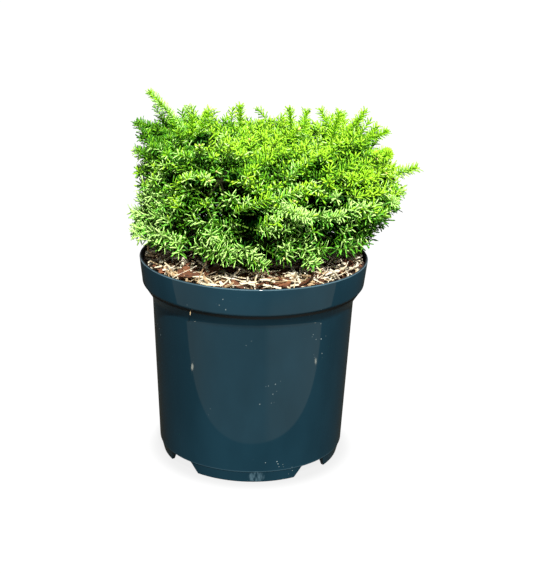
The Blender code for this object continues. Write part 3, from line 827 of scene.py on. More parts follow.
def limb_mesh(place, girth, sides, rows, depth, seed):
    """A limb. place(share) gives its centre and direction, girth(share, angle) its radius."""
    work = bmesh.new()
    bmesh.ops.create_cone(work, cap_ends=True, segments=sides, radius1=1, radius2=1, depth=1)
    upright = [edge for edge in work.edges if abs(edge.verts[0].co.z - edge.verts[1].co.z) > 0.5]
    bmesh.ops.subdivide_edges(work, edges=upright, cuts=rows, use_grid_fill=True)
    side = None
    frames = []
    for row in range(rows + 2):
        centre, way = place(row / (rows + 1))
        side = way.orthogonal().normalized() if side is None else (side - way * side.dot(way)).normalized()
        frames.append((centre, side, way.cross(side)))
    for vertex in work.verts:
        row = round((vertex.co.z + 0.5) * (rows + 1))
        angle = math.atan2(vertex.co.y, vertex.co.x)
        centre, across, up = frames[row]
        share = row / (rows + 1)
        radius = girth(share, angle)
        radius += depth * furrows(angle, share, seed, radius)
        vertex.co = centre + (across * math.cos(angle) + up * math.sin(angle)) * radius
    bmesh.ops.recalc_face_normals(work, faces=work.faces)
    return work


def conifer_bark(name, first, second, scale, strength):
    """Bark: two tones that drift along the limb and a flaky relief."""
    material, tree, shader = drifting_surface(name, swatch(*first), swatch(*second), scale, (1, 1, 0.4),
                                              Roughness=0.85, Specular_IOR_Level=0.1)
    raise_grain(tree, shader, strength, 0.0004, 1400.0, (1, 1, 0.5))
    return material


# These near-black tones paint the shade that lies on the boughs inside the crown.
old_bark = conifer_bark("old_bark", (25, 25, 14), (14, 14, 8), 260.0, 0.7)
print("bark on old wood:", old_bark.name)

# %% [markdown]
# The stem leans a little to the right and narrows upwards, and its foot spreads into lobes
# where the roots leave it. A flare that dies away by its own height is enough for that.

# %% Raise the stem
STEM_FOOT = MIX_EDGE_HEIGHT + MIX_HEAP + GAP
STEM_TOP = 0.2050
STEM_RADIUS = 0.0066
STEM_TOP_RADIUS = 0.0052
STEM_LEAN = 0.0030
STEM_FURROW = 0.0005
FLARE = 0.55
FLARE_HEIGHT = 0.006
FLARE_FALL = 1.6
FLARE_LOBES = 5


def stem_share(height):
    """How far up the stem a height lies, from 0 to 1."""
    return (height - STEM_FOOT) / (STEM_TOP - STEM_FOOT)


def stem_middle(height):
    """Centre of the stem at a height."""
    return Vector((STEM_LEAN * stem_share(height), 0.0, height))


def stem_radius(height):
    """Plain radius of the stem at a height, without its flare."""
    return STEM_RADIUS + (STEM_TOP_RADIUS - STEM_RADIUS) * stem_share(height)


def stem_girth(share, angle):
    """Radius of the stem with its lobed root flare."""
    height = STEM_FOOT + share * (STEM_TOP - STEM_FOOT)
    flare = FLARE * math.exp(-(height - STEM_FOOT) / FLARE_HEIGHT * FLARE_FALL)
    return stem_radius(height) * (1 + flare * (0.7 + 0.3 * math.cos(FLARE_LOBES * angle)))


def stem_place(share):
    """Centre and direction of the stem at a share of its height."""
    return stem_middle(STEM_FOOT + share * (STEM_TOP - STEM_FOOT)), Vector((0, 0, 1))


stem = mesh_from("trunk_bark", limb_mesh(stem_place, stem_girth, 48, 44, STEM_FURROW, 1.7))
finish_piece("trunk_bark", stem, old_bark, ["trunk"], smooth_angle=0.9)

# %% [markdown]
# The crown is shared out into spaces in three tiers round the stem, low, high and top, and one
# bough runs to each. These are the frame's own measures, so that every bough meets its stem and
# every shoot ends where the frame's sprays end.

# %% Share out the crown
CROWN_X = 0.009
REACH_X = 0.111
REACH_Y = 0.101
CROWN_FOOT = 0.181
CROWN_WAIST = 0.236
CROWN_TOP = 0.2755
TOP_LIFT = 0.009              # the crown's two sides stand this much higher than its middle
HEART_LEVEL = 0.48
Ring = namedtuple("Ring", "name count turn inner outer foot top tip_share tip_height root_height")
RINGS = (
    Ring("low", 7, math.radians(-90), 0.50, 1.0, CROWN_FOOT, 0.2262, 0.47, 0.2005, 0.1815),
    Ring("high", 7, math.radians(-90 + 180 / 7), 0.48, 1.0, 0.2275, None, 0.34, 0.2175, 0.1915),
    Ring("top", 4, math.radians(-45), 0.03, 0.465, 0.2365, None, 0.22, 0.2330, 0.2000),
)


def crown_point(share, direction, height):
    """A point of the crown from its share of the reach, its direction and its height."""
    return Vector((CROWN_X + REACH_X * share * math.cos(direction), REACH_Y * share * math.sin(direction),
                   height))


def space_heart(ring, direction):
    """Middle of a space, where its twigs start."""
    height = ring.foot + HEART_LEVEL * ((ring.top or CROWN_TOP) - ring.foot)
    return crown_point(0.5 * (ring.inner + ring.outer), direction, height)


def outward(direction):
    """The level way out in a direction."""
    return Vector((math.cos(direction), math.sin(direction), 0))


spaces = [(ring, index, ring.turn + math.tau * index / ring.count)
          for ring in RINGS for index in range(ring.count)]
print("spaces:", {ring.name: ring.count for ring in RINGS})

# %% [markdown]
# A bough leaves the stem with a collar, bends up and out, and ends in a straight stretch that
# points at its space's heart. A soft curve through three points gives the bend.

# %% Grow the boughs
BOUGH_RADIUS = 0.0019
BOUGH_TIP_RADIUS = 0.0012
BOUGH_END = 0.004             # length of the straight stretch
BOUGH_END_SHARE = 0.15        # and its share of the rows
BOUGH_BEND = 0.4
BOUGH_COLLAR = 0.45
BOUGH_COLLAR_FALL = 14
BOUGH_FURROW = 0.00022


def bough_place(ring, direction):
    """A function that gives a bough's centre and direction at a share of its length."""
    tip = crown_point(ring.tip_share, direction, ring.tip_height)
    toward = (space_heart(ring, direction) - tip).normalized()
    middle = stem_middle(ring.root_height)
    away = Vector((tip.x - middle.x, tip.y - middle.y, 0)).normalized()
    root = middle + away * (stem_radius(ring.root_height) * 0.8)
    last = tip - toward * BOUGH_END
    bend = last - toward * (last - root).length * BOUGH_BEND

    def place(share):
        if share > 1 - BOUGH_END_SHARE:
            return last.lerp(tip, (share - 1 + BOUGH_END_SHARE) / BOUGH_END_SHARE), (tip - last).normalized()
        t = share / (1 - BOUGH_END_SHARE)
        first, second = root.lerp(bend, t), bend.lerp(last, t)
        return first.lerp(second, t), (second - first).normalized()
    return place


def bough_girth(share, _angle):
    """Radius of a bough, which is round all the way and thick at its root."""
    collar = BOUGH_COLLAR * math.exp(-share * BOUGH_COLLAR_FALL)
    return (BOUGH_RADIUS + (BOUGH_TIP_RADIUS - BOUGH_RADIUS) * share) * (1 + collar)


def build_boughs():
    """All the boughs as one mesh."""
    whole = bmesh.new()
    for number, (ring, _, direction) in enumerate(spaces):
        work = limb_mesh(bough_place(ring, direction), bough_girth, 14, 26, BOUGH_FURROW, number * 3.1)
        limb = mesh_from("limb", work)
        whole.from_mesh(limb)
        bpy.data.meshes.remove(limb)
    return mesh_from("boughs", whole)


finish_piece("boughs_bark", build_boughs(), old_bark, bough_nodes, smooth_angle=0.9)

# %% [markdown]
# ## The foliage
# The frame's masses follow a rule: twigs run from a space's heart to marks on the crown's
# surface, each ends in a spray, and side sprays fork off it. Here the same rule goes on. A
# spray becomes a branchlet with a main shoot and pairs of side shoots, and between the frame's
# marks there are a few more, so that tips stand as far apart as they do on the living plant.

# %% Mark where the branchlets end
SEED = 41
WALL_MARKS = {                # on a space's wall: turn as a share of half its width, and lift
    "low": ((-0.68, 0.78), (-0.24, 0.86), (0.22, 0.80), (0.67, 0.84), (-0.48, 0.40), (0.0, 0.44),
            (0.47, 0.36), (0.04, 0.10), (-0.88, 0.52), (0.88, 0.56), (-0.60, 0.10), (0.60, 0.12),
            (-0.45, 1.06), (0.02, 1.10), (0.48, 1.04)),
    "high": ((-0.62, 0.20), (0.02, 0.16), (0.64, 0.24), (-0.40, 0.60), (0.14, 0.66), (0.56, 0.62),
             (-0.88, 0.42), (0.90, 0.46), (-0.14, 0.40), (-0.72, 0.82), (0.84, 0.84), (-0.30, 0.0),
             (0.34, 0.02)),
    "top": (),
}
TOP_MARKS = {                 # on its top: turn, and depth from its inner to its outer edge
    "low": (),
    "high": ((-0.55, 0.84), (0.52, 0.82), (-0.02, 0.62), (-0.42, 0.32), (0.42, 0.34), (0.0, 0.92),
             (-0.90, 0.60), (0.88, 0.30)),
    "top": ((-0.54, 0.80), (0.52, 0.76), (0.0, 0.74), (-0.30, 0.38), (0.34, 0.22), (-0.88, 0.50),
            (0.88, 0.52), (-0.86, 0.92), (0.86, 0.94)),
}
print("marks in all:", sum(map(len, [*WALL_MARKS.values(), *TOP_MARKS.values()])))

# %% [markdown]
# The living crown isn't quite the frame's: its middle sways to the right at the waist, and its
# foot and top are drawn in a little. Three functions of the height say so for every tip.

# %% Let the crown sway
SWAY = 0.013                  # the crown's middle stands this much further right at its waist
SWAY_SHARE = 0.23             # of which so much lies right of the frame's middle
SWAY_HEIGHT = 0.232
SWAY_DOWN = 0.042
SWAY_UP = 0.045
LIVING_FOOT_GIRTH = 0.88
LIVING_TOP_GIRTH = 0.90


def crown_sway(height):
    """How far the crown's middle stands right of the frame's, most at its waist."""
    off = height - SWAY_HEIGHT
    away = np.clip(np.maximum(off / SWAY_UP, -off / SWAY_DOWN), 0, 1)
    return SWAY * (SWAY_SHARE - away ** 1.5)


def living_girth(height):
    """The living crown's outline at a height, as a share of its full reach."""
    down = np.clip((CROWN_WAIST - height) / (CROWN_WAIST - CROWN_FOOT), 0, 1)
    up = np.clip((height - CROWN_WAIST) / (CROWN_TOP - CROWN_WAIST), 0, 1)
    return 1 - (1 - LIVING_FOOT_GIRTH) * down ** 2 - (1 - LIVING_TOP_GIRTH) * up ** 2


def surface_point(share, direction, height):
    """A point of the living crown, which sways a little."""
    return crown_point(share, direction, height) + Vector((float(crown_sway(height)), 0, 0))


def outerness(point):
    """How near a point is to the crown's surface: 1 on it, less inside."""
    height = point[..., 2]
    x = point[..., 0] - crown_sway(height) - CROWN_X
    wall = np.hypot(x / REACH_X, point[..., 1] / REACH_Y)
    top = (height - CROWN_FOOT) / (CROWN_TOP + TOP_LIFT * (x / REACH_X) ** 2 - CROWN_FOOT)
    return np.maximum(wall / living_girth(height), top)


print("the crown's sway at its waist:", round(float(crown_sway(CROWN_WAIST)), 4))

# %% [markdown]
# Every mark becomes a tip with a direction. Shoots on the wall turn well aside, so that their
# sides are seen and not their ends, and those on top point up. Chance moves each mark a little.

# %% Place the tips
MARK_STRAY = 0.10
WALL_RISE = 0.75
WALL_DROOP = 0.20
WALL_STRAY = 0.35
WALL_TURN = (0.70, 1.45)      # how far a wall shoot turns from straight outwards
WALL_DEPTH = (0.89, 0.965)    # how near the surface it ends
WALL_LIFT = (0.0125, 0.004)   # and how far above the crown's foot, in front and behind
TOP_STRAY = 0.006
TOP_TURN = 1.4


def half_turn(ring):
    """Half the angle that a space of a ring fills."""
    return math.pi / ring.count


def wall_tip(ring, direction, turn, lift, rng):
    """Tip and direction of a branchlet that ends on a space's wall."""
    height = ring.foot + (lift + MARK_STRAY * rng.uniform(-1, 1)) * ((ring.top or CROWN_TOP) - ring.foot)
    bearing = direction + (turn + MARK_STRAY * rng.uniform(-1, 1)) * half_turn(ring)
    height = max(height, CROWN_FOOT + WALL_LIFT[math.sin(bearing) >= 0])
    tip = surface_point(living_girth(height) * rng.uniform(*WALL_DEPTH), bearing, height)
    rise = WALL_RISE * (height - CROWN_FOOT) / (CROWN_TOP - CROWN_FOOT) - WALL_DROOP
    aside = rng.choice((-1, 1)) * rng.uniform(*WALL_TURN)
    way = outward(bearing + aside) + Vector((0, 0, rise + rng.uniform(-WALL_STRAY, WALL_STRAY)))
    return tip, way.normalized()


def top_tip(ring, direction, turn, depth, rng):
    """Tip and direction of a branchlet that ends on the crown's top."""
    share = (ring.inner + depth * (ring.outer - ring.inner)) * LIVING_TOP_GIRTH
    bearing = direction + turn * half_turn(ring)
    tip = surface_point(share, bearing, CROWN_TOP)
    level = CROWN_TOP + TOP_LIFT * ((tip.x - CROWN_X) / REACH_X) ** 2
    tip.z = level + TOP_STRAY * rng.uniform(-1.3, 0.8)
    way = outward(bearing + rng.uniform(-TOP_TURN, TOP_TURN)) * rng.uniform(0.5, 1.3) + Vector((0, 0, 1))
    return tip, way.normalized()


def space_tips(ring, direction, rng):
    """Tips and directions of a mass's branchlets, spread over the crown's surface."""
    return ([wall_tip(ring, direction, *mark, rng) for mark in WALL_MARKS[ring.name]]
            + [top_tip(ring, direction, *mark, rng) for mark in TOP_MARKS[ring.name]])


print("a wall tip:", wall_tip(RINGS[0], 0.0, 0.0, 0.5, random.Random(0))[0])

# %% [markdown]
# A few long shoots stand out of the outline and give the plant its face. Chance wouldn't put
# them where they belong, so each has its own tip and its own way.

# %% Place the long shoots
LEADER_LENGTH = 0.0420
LEADER_OVERHANG = 0.0030      # how far its last needles reach past its wood
LEADER_STOUT = 2.4            # their needles are this much closer
LEADER_BRIGHT = 0.8           # and they are this many tones brighter
LEADERS = (                   # where they end, needles and all, and their way
    ((-0.0876, 0.000, 0.3078), (-0.68, 0.0, 0.73)), ((-0.0512, 0.000, 0.2885), (0.05, 0.1, 1.0)),
    ((-0.0384, 0.000, 0.2914), (0.40, 0.0, 0.9)), ((-0.0138, 0.012, 0.2975), (-0.02, 0.0, 1.0)),
    ((0.0268, 0.010, 0.2920), (-0.10, 0.0, 1.0)), ((0.0394, 0.000, 0.2912), (0.12, 0.1, 1.0)),
    ((0.0536, 0.010, 0.2905), (-0.50, 0.1, 0.9)), ((0.0652, 0.000, 0.2892), (0.25, 0.1, 1.0)),
    ((0.0862, 0.000, 0.2935), (0.58, 0.0, 0.80)), ((0.1075, 0.000, 0.2792), (0.90, 0.0, 0.42)),
    ((0.1107, 0.000, 0.2583), (1.0, -0.1, 0.0)), ((0.1340, 0.000, 0.2497), (0.93, -0.1, 0.33)),
    ((-0.1002, 0.000, 0.2822), (-0.90, 0.0, 0.35)), ((-0.1005, 0.000, 0.2577), (-1.0, 0.0, 0.05)),
    ((-0.1045, 0.000, 0.2066), (-1.0, -0.1, 0.0)), ((-0.0990, -0.030, 0.1960), (-0.9, -0.3, -0.25)),
    ((0.1186, 0.000, 0.2334), (0.95, -0.2, 0.10)), ((0.1248, 0.000, 0.2268), (0.95, -0.1, -0.15)),
    ((0.1195, 0.000, 0.2149), (0.95, -0.1, 0.10)), ((0.0090, 0.088, 0.2685), (0.1, 0.5, 1.0)),
    ((-0.0600, 0.078, 0.2775), (-0.3, 0.4, 1.0)), ((0.0760, 0.076, 0.2825), (0.3, 0.4, 1.0)),
    ((0.0960, 0.000, 0.2808), (0.62, 0.0, 0.78)), ((-0.0700, 0.000, 0.2890), (-0.35, 0.1, 0.95)),
    ((0.0400, -0.106, 0.2330), (0.80, -0.60, -0.05)), ((0.0126, -0.082, 0.1862), (0.85, -0.50, -0.25)),
    ((0.0500, -0.080, 0.1866), (0.62, -0.66, -0.36)), ((-0.0228, -0.084, 0.1920), (-0.6, -0.7, -0.30)),
    ((0.0680, -0.088, 0.2310), (0.80, -0.50, 0.25)),
)
LOW, HIGH, TOP = RINGS
TOP_EDGE = TOP.inner + TOP.outer      # share of the reach where the top tier's long shoots end


def in_space(ring, direction, tip):
    """Whether a long shoot's tip lies in a space's sector and tier."""
    across, along = (tip.x - CROWN_X) / REACH_X, tip.y / REACH_Y
    share = math.hypot(across, along)
    turn = (math.atan2(along, across) - direction + math.pi) % math.tau - math.pi
    if ring is TOP:
        tier = share < TOP_EDGE and tip.z > TOP.foot
    else:
        tier = share > TOP_EDGE and (tip.z > LOW.top) == (ring is HIGH)
    return tier and abs(turn) <= half_turn(ring)


print("long shoots:", len(LEADERS))

# %% [markdown]
# A conifer's branchlet is a flat spray: one main shoot with shorter ones in pairs on both
# sides. Between the sprays the front has dark hollows, where one looks past the outer shoots
# to the shade inside. They are kept open by leaving out the shoots that would end in them.

# %% Branch a spray
Shoot = namedtuple("Shoot", "root way bend length rank chance stout")
SIDE_ANGLE = math.radians(46)
SIDE_PLACES = ((0.12, 0.70, 0.85), (0.42, 0.52, 0.5))    # place on the main shoot, length and how likely
SPRAY_BEND = 0.16
SPRAY_ROLL = 0.7
SHOOT_SPREAD = 0.5            # how far a spray's own chance makes it lighter or darker
SIDE_SPREAD = 0.25
HOLLOWS = (                   # where the front is open and dark with painted shade: x, z and how wide
    (-0.003, 0.225, 0.009), (-0.005, 0.214, 0.009),
    (-0.0425, 0.2940, 0.008), (-0.0468, 0.2515, 0.005), (-0.026, 0.252, 0.004), (-0.065, 0.2594, 0.005),
    (-0.016, 0.2605, 0.004), (0.0477, 0.2226, 0.003), (-0.038, 0.2295, 0.004), (0.0677, 0.2456, 0.003),
)
HOLLOW_MOUTH = -0.090         # they are measured here, along Y,
HOLLOW_FALL = 0.33            # and run down by this much for each step inwards
HOLLOW_END = 0.0              # as far as this
HOLLOW_DEPTH = 0.7            # a shoot further inside than this may end in one
OUTLINE = 0.978               # share of the crown's surface that ordinary shoots may reach
SKIRT_LIFT = (0.0100, 0.0010)  # shoots end this far above the crown's foot, in front and behind


def in_hollow(point):
    """Whether a point lies in one of the front's dark hollows."""
    level = point.z + HOLLOW_FALL * (point.y - HOLLOW_MOUTH)
    return point.y < HOLLOW_END and any(math.hypot(point.x - x, level - z) < wide for x, z, wide in HOLLOWS)


def may_stand(root, way, length):
    """Whether a shoot stays in the crown: inside its surface, off the mulch and out of the hollows."""
    tip = root + way * length
    out = outerness(np.array(tip))
    if in_hollow(tip) and out > HOLLOW_DEPTH:
        return False
    return out < OUTLINE and tip.z > CROWN_FOOT + SKIRT_LIFT[tip.y > 0]


def branchlet(tip, way, length, stout, rng):
    """A main shoot that ends at the tip and pairs of side shoots in one plane."""
    root = tip - way * length
    bend = Vector((0, 0, SPRAY_BEND * rng.uniform(-0.6, 1.0)))
    chance = rng.gauss(0, SHOOT_SPREAD) - (LEADER_BRIGHT if stout > 1 else 0)
    shoots = [Shoot(root, (way - bend).normalized(), bend, length, 0, chance, stout)]
    up = Vector((0, 0, 1)) if abs(way.z) < 0.75 else outward(rng.uniform(0, math.tau))
    across = Matrix.Rotation(rng.uniform(-SPRAY_ROLL, SPRAY_ROLL), 3, way) @ way.cross(up).normalized()
    for place, share, likely in SIDE_PLACES:
        for hand in (-1, 1):
            angle = SIDE_ANGLE * rng.uniform(0.8, 1.2)
            side = (way * math.cos(angle) + across * hand * math.sin(angle)).normalized()
            start = root + way * length * (place + rng.uniform(-0.06, 0.06))
            size = length * share * rng.uniform(0.85, 1.15)
            if rng.random() < likely and may_stand(start, side, size):
                own = chance + rng.gauss(0, SIDE_SPREAD)
                shoots.append(Shoot(start, side, bend * 0.7, size, 1, own, 1.0))
    return root, shoots


print("side shoots on a spray, at most:", 2 * len(SIDE_PLACES))

# %% [markdown]
# Short shoots clothe the twigs inside and the old wood of the boughs, so that the crown is
# green all the way in and nobody sees through it. Each mass grows by its own seed, so a change
# in one leaves the others as they are.

# %% Grow the crown
SPRAY_LENGTH = 0.0330
INNER_SHOOTS = 6
INNER_LENGTH = 0.021
INNER_BEND = 0.05
INNER_SPREAD = 0.3
OLD_SHOOTS = 15               # short shoots that the old wood of a bough keeps


def short_shoot(root, way, length, rng):
    """One of the short shoots inside the crown."""
    return Shoot(root, way, Vector((0, 0, INNER_BEND)), length, 2, rng.gauss(0, INNER_SPREAD), 1.0)


def tilted(way, angle, around):
    """A direction turned away from another by an angle, towards a bearing round it."""
    side = Matrix.Rotation(around, 3, way) @ way.orthogonal().normalized()
    return (way * math.cos(angle) + side * math.sin(angle)).normalized()


def grow_mass(ring, direction, rng):
    """Branchlets of one mass and the twigs that carry them."""
    heart = space_heart(ring, direction)
    ends = [(tip, way, SPRAY_LENGTH * rng.uniform(0.85, 1.15), 1.0)
            for tip, way in space_tips(ring, direction, rng)]
    ends = [end for end in ends if not in_hollow(end[0] - end[1] * end[2] * 0.3)]
    for tip, way in LEADERS:
        if in_space(ring, direction, Vector(tip)):
            way = Vector(way).normalized()
            ends.append((Vector(tip) - way * LEADER_OVERHANG, way, LEADER_LENGTH, LEADER_STOUT))
    shoots, twigs = [], []
    for tip, way, length, stout in ends:
        root, new = branchlet(tip, way, length, stout, rng)
        shoots += new
        middle = (heart + root) / 2 + Vector((0, 0, 0.004 * rng.uniform(-1, 0.5)))
        twigs.append((heart, middle, root))
        for index in range(INNER_SHOOTS):
            base = heart.lerp(root, (index + 0.6) / INNER_SHOOTS)
            side = tilted((root - heart).normalized(), rng.uniform(0.6, 1.3), rng.uniform(0, math.tau))
            size = INNER_LENGTH * rng.uniform(0.8, 1.2)
            if may_stand(base, side, size):
                shoots.append(short_shoot(base, side, size, rng))
    place = bough_place(ring, direction)
    for index in range(OLD_SHOOTS):
        centre, way = place((index + 0.5) / OLD_SHOOTS)
        side = tilted(way, rng.uniform(0.7, 1.4), rng.uniform(0, math.tau))
        shoots.append(short_shoot(centre, side, INNER_LENGTH, rng))
    tip = place(1.0)[0]
    twigs.append((tip, tip.lerp(heart, 0.5), heart))
    return shoots, twigs


shoots, twigs = [], []
for ring, index, direction in spaces:
    more_shoots, more_twigs = grow_mass(ring, direction, random.Random(f"{SEED} {ring.name}_{index + 1}"))
    shoots += more_shoots
    twigs += more_twigs
print(len(shoots), "shoots on", len(twigs), "twigs, by rank:",
      [sum(shoot.rank == rank for shoot in shoots) for rank in range(3)])

# %% [markdown]
# A needle is a narrow blade with a keel: a point where it leaves the twig, two three-cornered
# rings that keep its sides parallel, and a blunt end, twelve faces in all. Deep in the crown,
# where nobody can tell, one ring is enough. Instances on points would be lighter but couldn't
# bend each needle its own way, so all the needles of a shoot are worked out at once, on a
# spiral that turns by the golden angle, and lean further forward towards the tip.

# %% Set the needles
GOLDEN_ANGLE = math.pi * (3 - math.sqrt(5))
NEEDLE_PITCH = (0.00050, 0.00052, 0.00078)       # along a shoot of each rank, from one needle to the next
NEEDLES_LEAST = 8
NEEDLE_LONG = 0.0090
NEEDLE_SHORT = 0.0056
NEEDLE_WIDTH = 0.00122
NEEDLE_KEEL = 0.00050
NEEDLE_LEAN = (72, 16)        # degrees from the shoot at its foot, and how many less at its tip
NEEDLE_LIFT = 0.22            # how far needles turn up to the light
LOW_THIN = 0.85               # needles stand this much further apart at the crown's foot
LOW_SLIM = 0.05               # and are this much narrower
LOW_RAMP = 1.15               # how soon, from the top down, they turn into those
RINGS_AT = (0.16, 0.86)
PLAIN_RING_AT = 0.6
FULL_FACES = np.array(((0, 2, 1), (0, 3, 2), (0, 1, 3), (1, 2, 5), (1, 5, 4), (2, 3, 6), (2, 6, 5),
                       (3, 1, 4), (3, 4, 6), (7, 4, 5), (7, 5, 6), (7, 6, 4)))
PLAIN_FACES = np.array(((0, 2, 1), (0, 3, 2), (0, 1, 3), (4, 1, 2), (4, 2, 3), (4, 3, 1)))
rng_needles = np.random.default_rng(SEED)


def unit(rows):
    """Rows of vectors, each brought to a length of one."""
    return rows / np.linalg.norm(rows, axis=-1, keepdims=True)


def column(values):
    """A row of numbers stood up, so that each one scales its own vector."""
    return values[:, None]


def needle_lengths(share, low, count):
    """How long the needles of a shoot are: shorter at its foot and its very tip."""
    size = NEEDLE_SHORT + (NEEDLE_LONG - NEEDLE_SHORT) * low
    long = size * (0.74 + 0.26 * np.sin(np.pi * np.clip(share / 0.7, 0, 1) / 2))
    return long * ((1 - 0.12 * np.clip((share - 0.74) / 0.26, 0, 1)) * rng_needles.uniform(0.88, 1.10, count))


def needles_of(shoot, low):
    """Corner points of all the needles of one shoot, and each one's place along it."""
    thinned = shoot.length * shoot.stout / NEEDLE_PITCH[shoot.rank] / (1 + LOW_THIN * low)
    count = max(NEEDLES_LEAST, int(thinned))
    share = (np.arange(count) + 0.5) / count
    way, bend = np.array(shoot.way), np.array(shoot.bend)
    along = unit(way + 2 * bend * column(share))
    base = np.array(shoot.root) + shoot.length * (way * column(share) + bend * column(share) ** 2)
    across = unit(np.cross(way, (0.31, 0.52, 0.79)))
    up = np.cross(way, across)
    angle = GOLDEN_ANGLE * np.arange(count) + rng_needles.uniform(0, math.tau)
    angle += rng_needles.normal(0, 0.15, count)
    radial = across * column(np.cos(angle)) + up * column(np.sin(angle))
    lean = np.radians(NEEDLE_LEAN[0] - NEEDLE_LEAN[1] * share ** 3) + rng_needles.normal(0, 0.11, count)
    out = unit(along * column(np.cos(lean)) + radial * column(np.sin(lean)) + np.array((0, 0, NEEDLE_LIFT)))
    long = column(needle_lengths(share, low, count))
    side = unit(np.cross(out, along) + rng_needles.normal(0, 0.22, (count, 3)))
    side = unit(side - out * column(np.sum(side * out, axis=1)))
    side = side * NEEDLE_WIDTH * (1 - LOW_SLIM * low) / 2
    keel = unit(np.cross(side, out)) * NEEDLE_KEEL
    if shoot.rank < 2:
        rings = [base + out * (long * at) + keel * 0.5 * 4 * at * (1 - at) for at in RINGS_AT]
        corners = [point for ring in rings for point in (ring + side, ring - side, ring + keel)]
    else:
        ring = base + out * (long * PLAIN_RING_AT)
        corners = [ring + side * 1.5, ring - side * 1.5, ring + keel]
    return np.stack([base, *corners, base + out * long], axis=1), share


print("faces of a needle, outside and deep inside:", len(FULL_FACES), "and", len(PLAIN_FACES))

# %% [markdown]
# The needles' colours paint the crown's light and shade: lime where the light falls, near black in painted
# shade inside and in the hollows, and pale where wax and painted highlights show, more so low down. An image
# on the leaves would be lost at this size, so each needle takes one of eight plain colours. Its place in the
# crown, the way it points, its spray's chance and its own chance add up to a step, and the step picks the
# colour.

# %% Deal out the colours
# Lit and shaded copies of the needles' green, from sunlit to painted shade.
NEEDLE_SWATCHES = {           # two tones and how much each colour shines
    "bright": ((182, 231, 54), (158, 221, 34), 0.35),
    "lime": ((140, 204, 40), (112, 182, 24), 0.35),
    "fresh": ((86, 152, 18), (62, 124, 9), 0.3),
    "pale": ((208, 245, 152), (172, 228, 100), 0.35),
    "leaf": ((130, 206, 72), (92, 174, 42), 0.35),
    "green": ((62, 132, 24), (40, 102, 14), 0.25),
    "deep": ((20, 66, 9), (10, 42, 4), 0.1),
    "shade": ((4, 24, 2), (1, 11, 1), 0.0),
}
tones = list(NEEDLE_SWATCHES)
HIGH_TONES = (0, 1, 2, 2, 5, 6, 7)        # from lit at the crown's surface to painted shade inwards, near its top
LOW_TONES = (3, 4, 2, 5, 6, 6, 7)         # and near its foot, where wax and painted highlights make more needles pale
SUNNY_HEIGHT = 0.60           # the first row holds above this share of the crown's height
LIGHT_WAY = np.array((0.10, -0.55, 0.83)) # painted light: needles that point this way are the brightest
LIT_SHARE = 1.1               # by this many steps
INNER_STEPS = 20.0            # steps of painted shade from the crown's surface to its middle
HOLLOW_DARK = 8.0             # painted shade: needles that hang into a hollow are this many steps darker
WAX_AND_HIGHLIGHT_CHANCE = -0.85           # needles whose own chance lies below this are pale, partly wax and partly painted highlight
CHANCE_SPREAD = 0.45


def tone_of(points, shoot, share, chance):
    """Which green a needle takes from its place in the crown and the way it points, painting the crown's
    light and shade.
    """
    tip = points[:, -1]
    lit = unit(tip - points[:, 0]) @ LIGHT_WAY
    high = (tip[:, 2] - CROWN_FOOT) / (CROWN_TOP - CROWN_FOOT)
    right = (tip[:, 0] - CROWN_X) / REACH_X
    inside = np.clip(1 - outerness(tip), 0, 1)
    top = np.clip((high - 0.8) / 0.2, 0, 1)
    foot = np.clip((0.7 - high) / 0.35, 0, 1)
    low = np.clip(1.4 * (1 - high), 0, 1)
    # Painted light and shade: the step grows with depth inside the crown and falls for needles that point to
    # the light.
    value = 1.4 * top + 0.1 * low - 0.4 * foot + INNER_STEPS * inside - (1.4 - 0.7 * low) * share
    value -= LIT_SHARE * (1 + 0.8 * low) * lit
    # Painted light and shade by place: darker on the left and at the low right, lighter at the right's
    # middle.
    value += right * np.where(right < 0, -0.7 - 1.3 * top, 1.25 * top - 1.3 + 4.6 * foot)
    value += shoot.chance * (1 - 0.4 * low) + chance * (1.5 + 0.3 * low)
    # Painted shade in the front's hollows.
    level = tip[:, 2] + HOLLOW_FALL * (tip[:, 1] - HOLLOW_MOUTH)
    for x, z, wide in HOLLOWS:
        off = np.hypot(tip[:, 0] - x, level - z) / wide
        value += HOLLOW_DARK * np.clip(1.25 - off, 0, 1) * (tip[:, 1] < -HOLLOW_MOUTH)
    step = np.clip(np.round(value), 0, len(HIGH_TONES) - 1).astype(int)
    sunny = high + 0.18 * right + 0.35 * shoot.chance + 0.35 * chance > SUNNY_HEIGHT
    tone = np.where(sunny, np.array(HIGH_TONES)[step], np.array(LOW_TONES)[step])
    return np.where((chance < WAX_AND_HIGHLIGHT_CHANCE) & (step < 3), tones.index("pale"), tone)


def build_needles():
    """Lists of needle arrays for each tone, full needles and plain ones apart."""
    found = {(name, full): [] for name in tones for full in (True, False)}
    for shoot in shoots:
        low = LOW_RAMP * (CROWN_TOP - shoot.root.z) / (CROWN_TOP - CROWN_FOOT)
        points, share = needles_of(shoot, min(1, max(0, low)))
        tone = tone_of(points, shoot, share, rng_needles.normal(0, CHANCE_SPREAD, len(points)))
        for index, name in enumerate(tones):
            if (tone == index).any():
                found[name, shoot.rank < 2].append(points[tone == index])
    return found


needle_groups = build_needles()
print("needles:", {name: [sum(map(len, needle_groups[name, full])) for full in (True, False)]
                   for name in tones})

# %% [markdown]
# All the needles of one colour are joined into one mesh, and into two or more where one would
# grow too heavy to pass on.

# %% Join the needles
PIECE_FACES = 170000          # a joined piece stays under this


def needle_mesh(name, part, parts):
    """All the needles of one tone, or one of several parts of them, as one mesh."""
    points, triangles, count = [], [], 0
    for full, faces in ((True, FULL_FACES), (False, PLAIN_FACES)):
        group = np.concatenate(needle_groups[name, full][part::parts])
        corners = group.shape[1]
        starts = count + corners * np.arange(len(group))
        points.append(group.reshape(-1, 3))
        triangles.append((faces[None] + starts[:, None, None]).reshape(-1, 3))
        count += len(group) * corners
    return mesh_of_triangles(f"needles_{name}_{part + 1}", np.vstack(points), np.vstack(triangles))


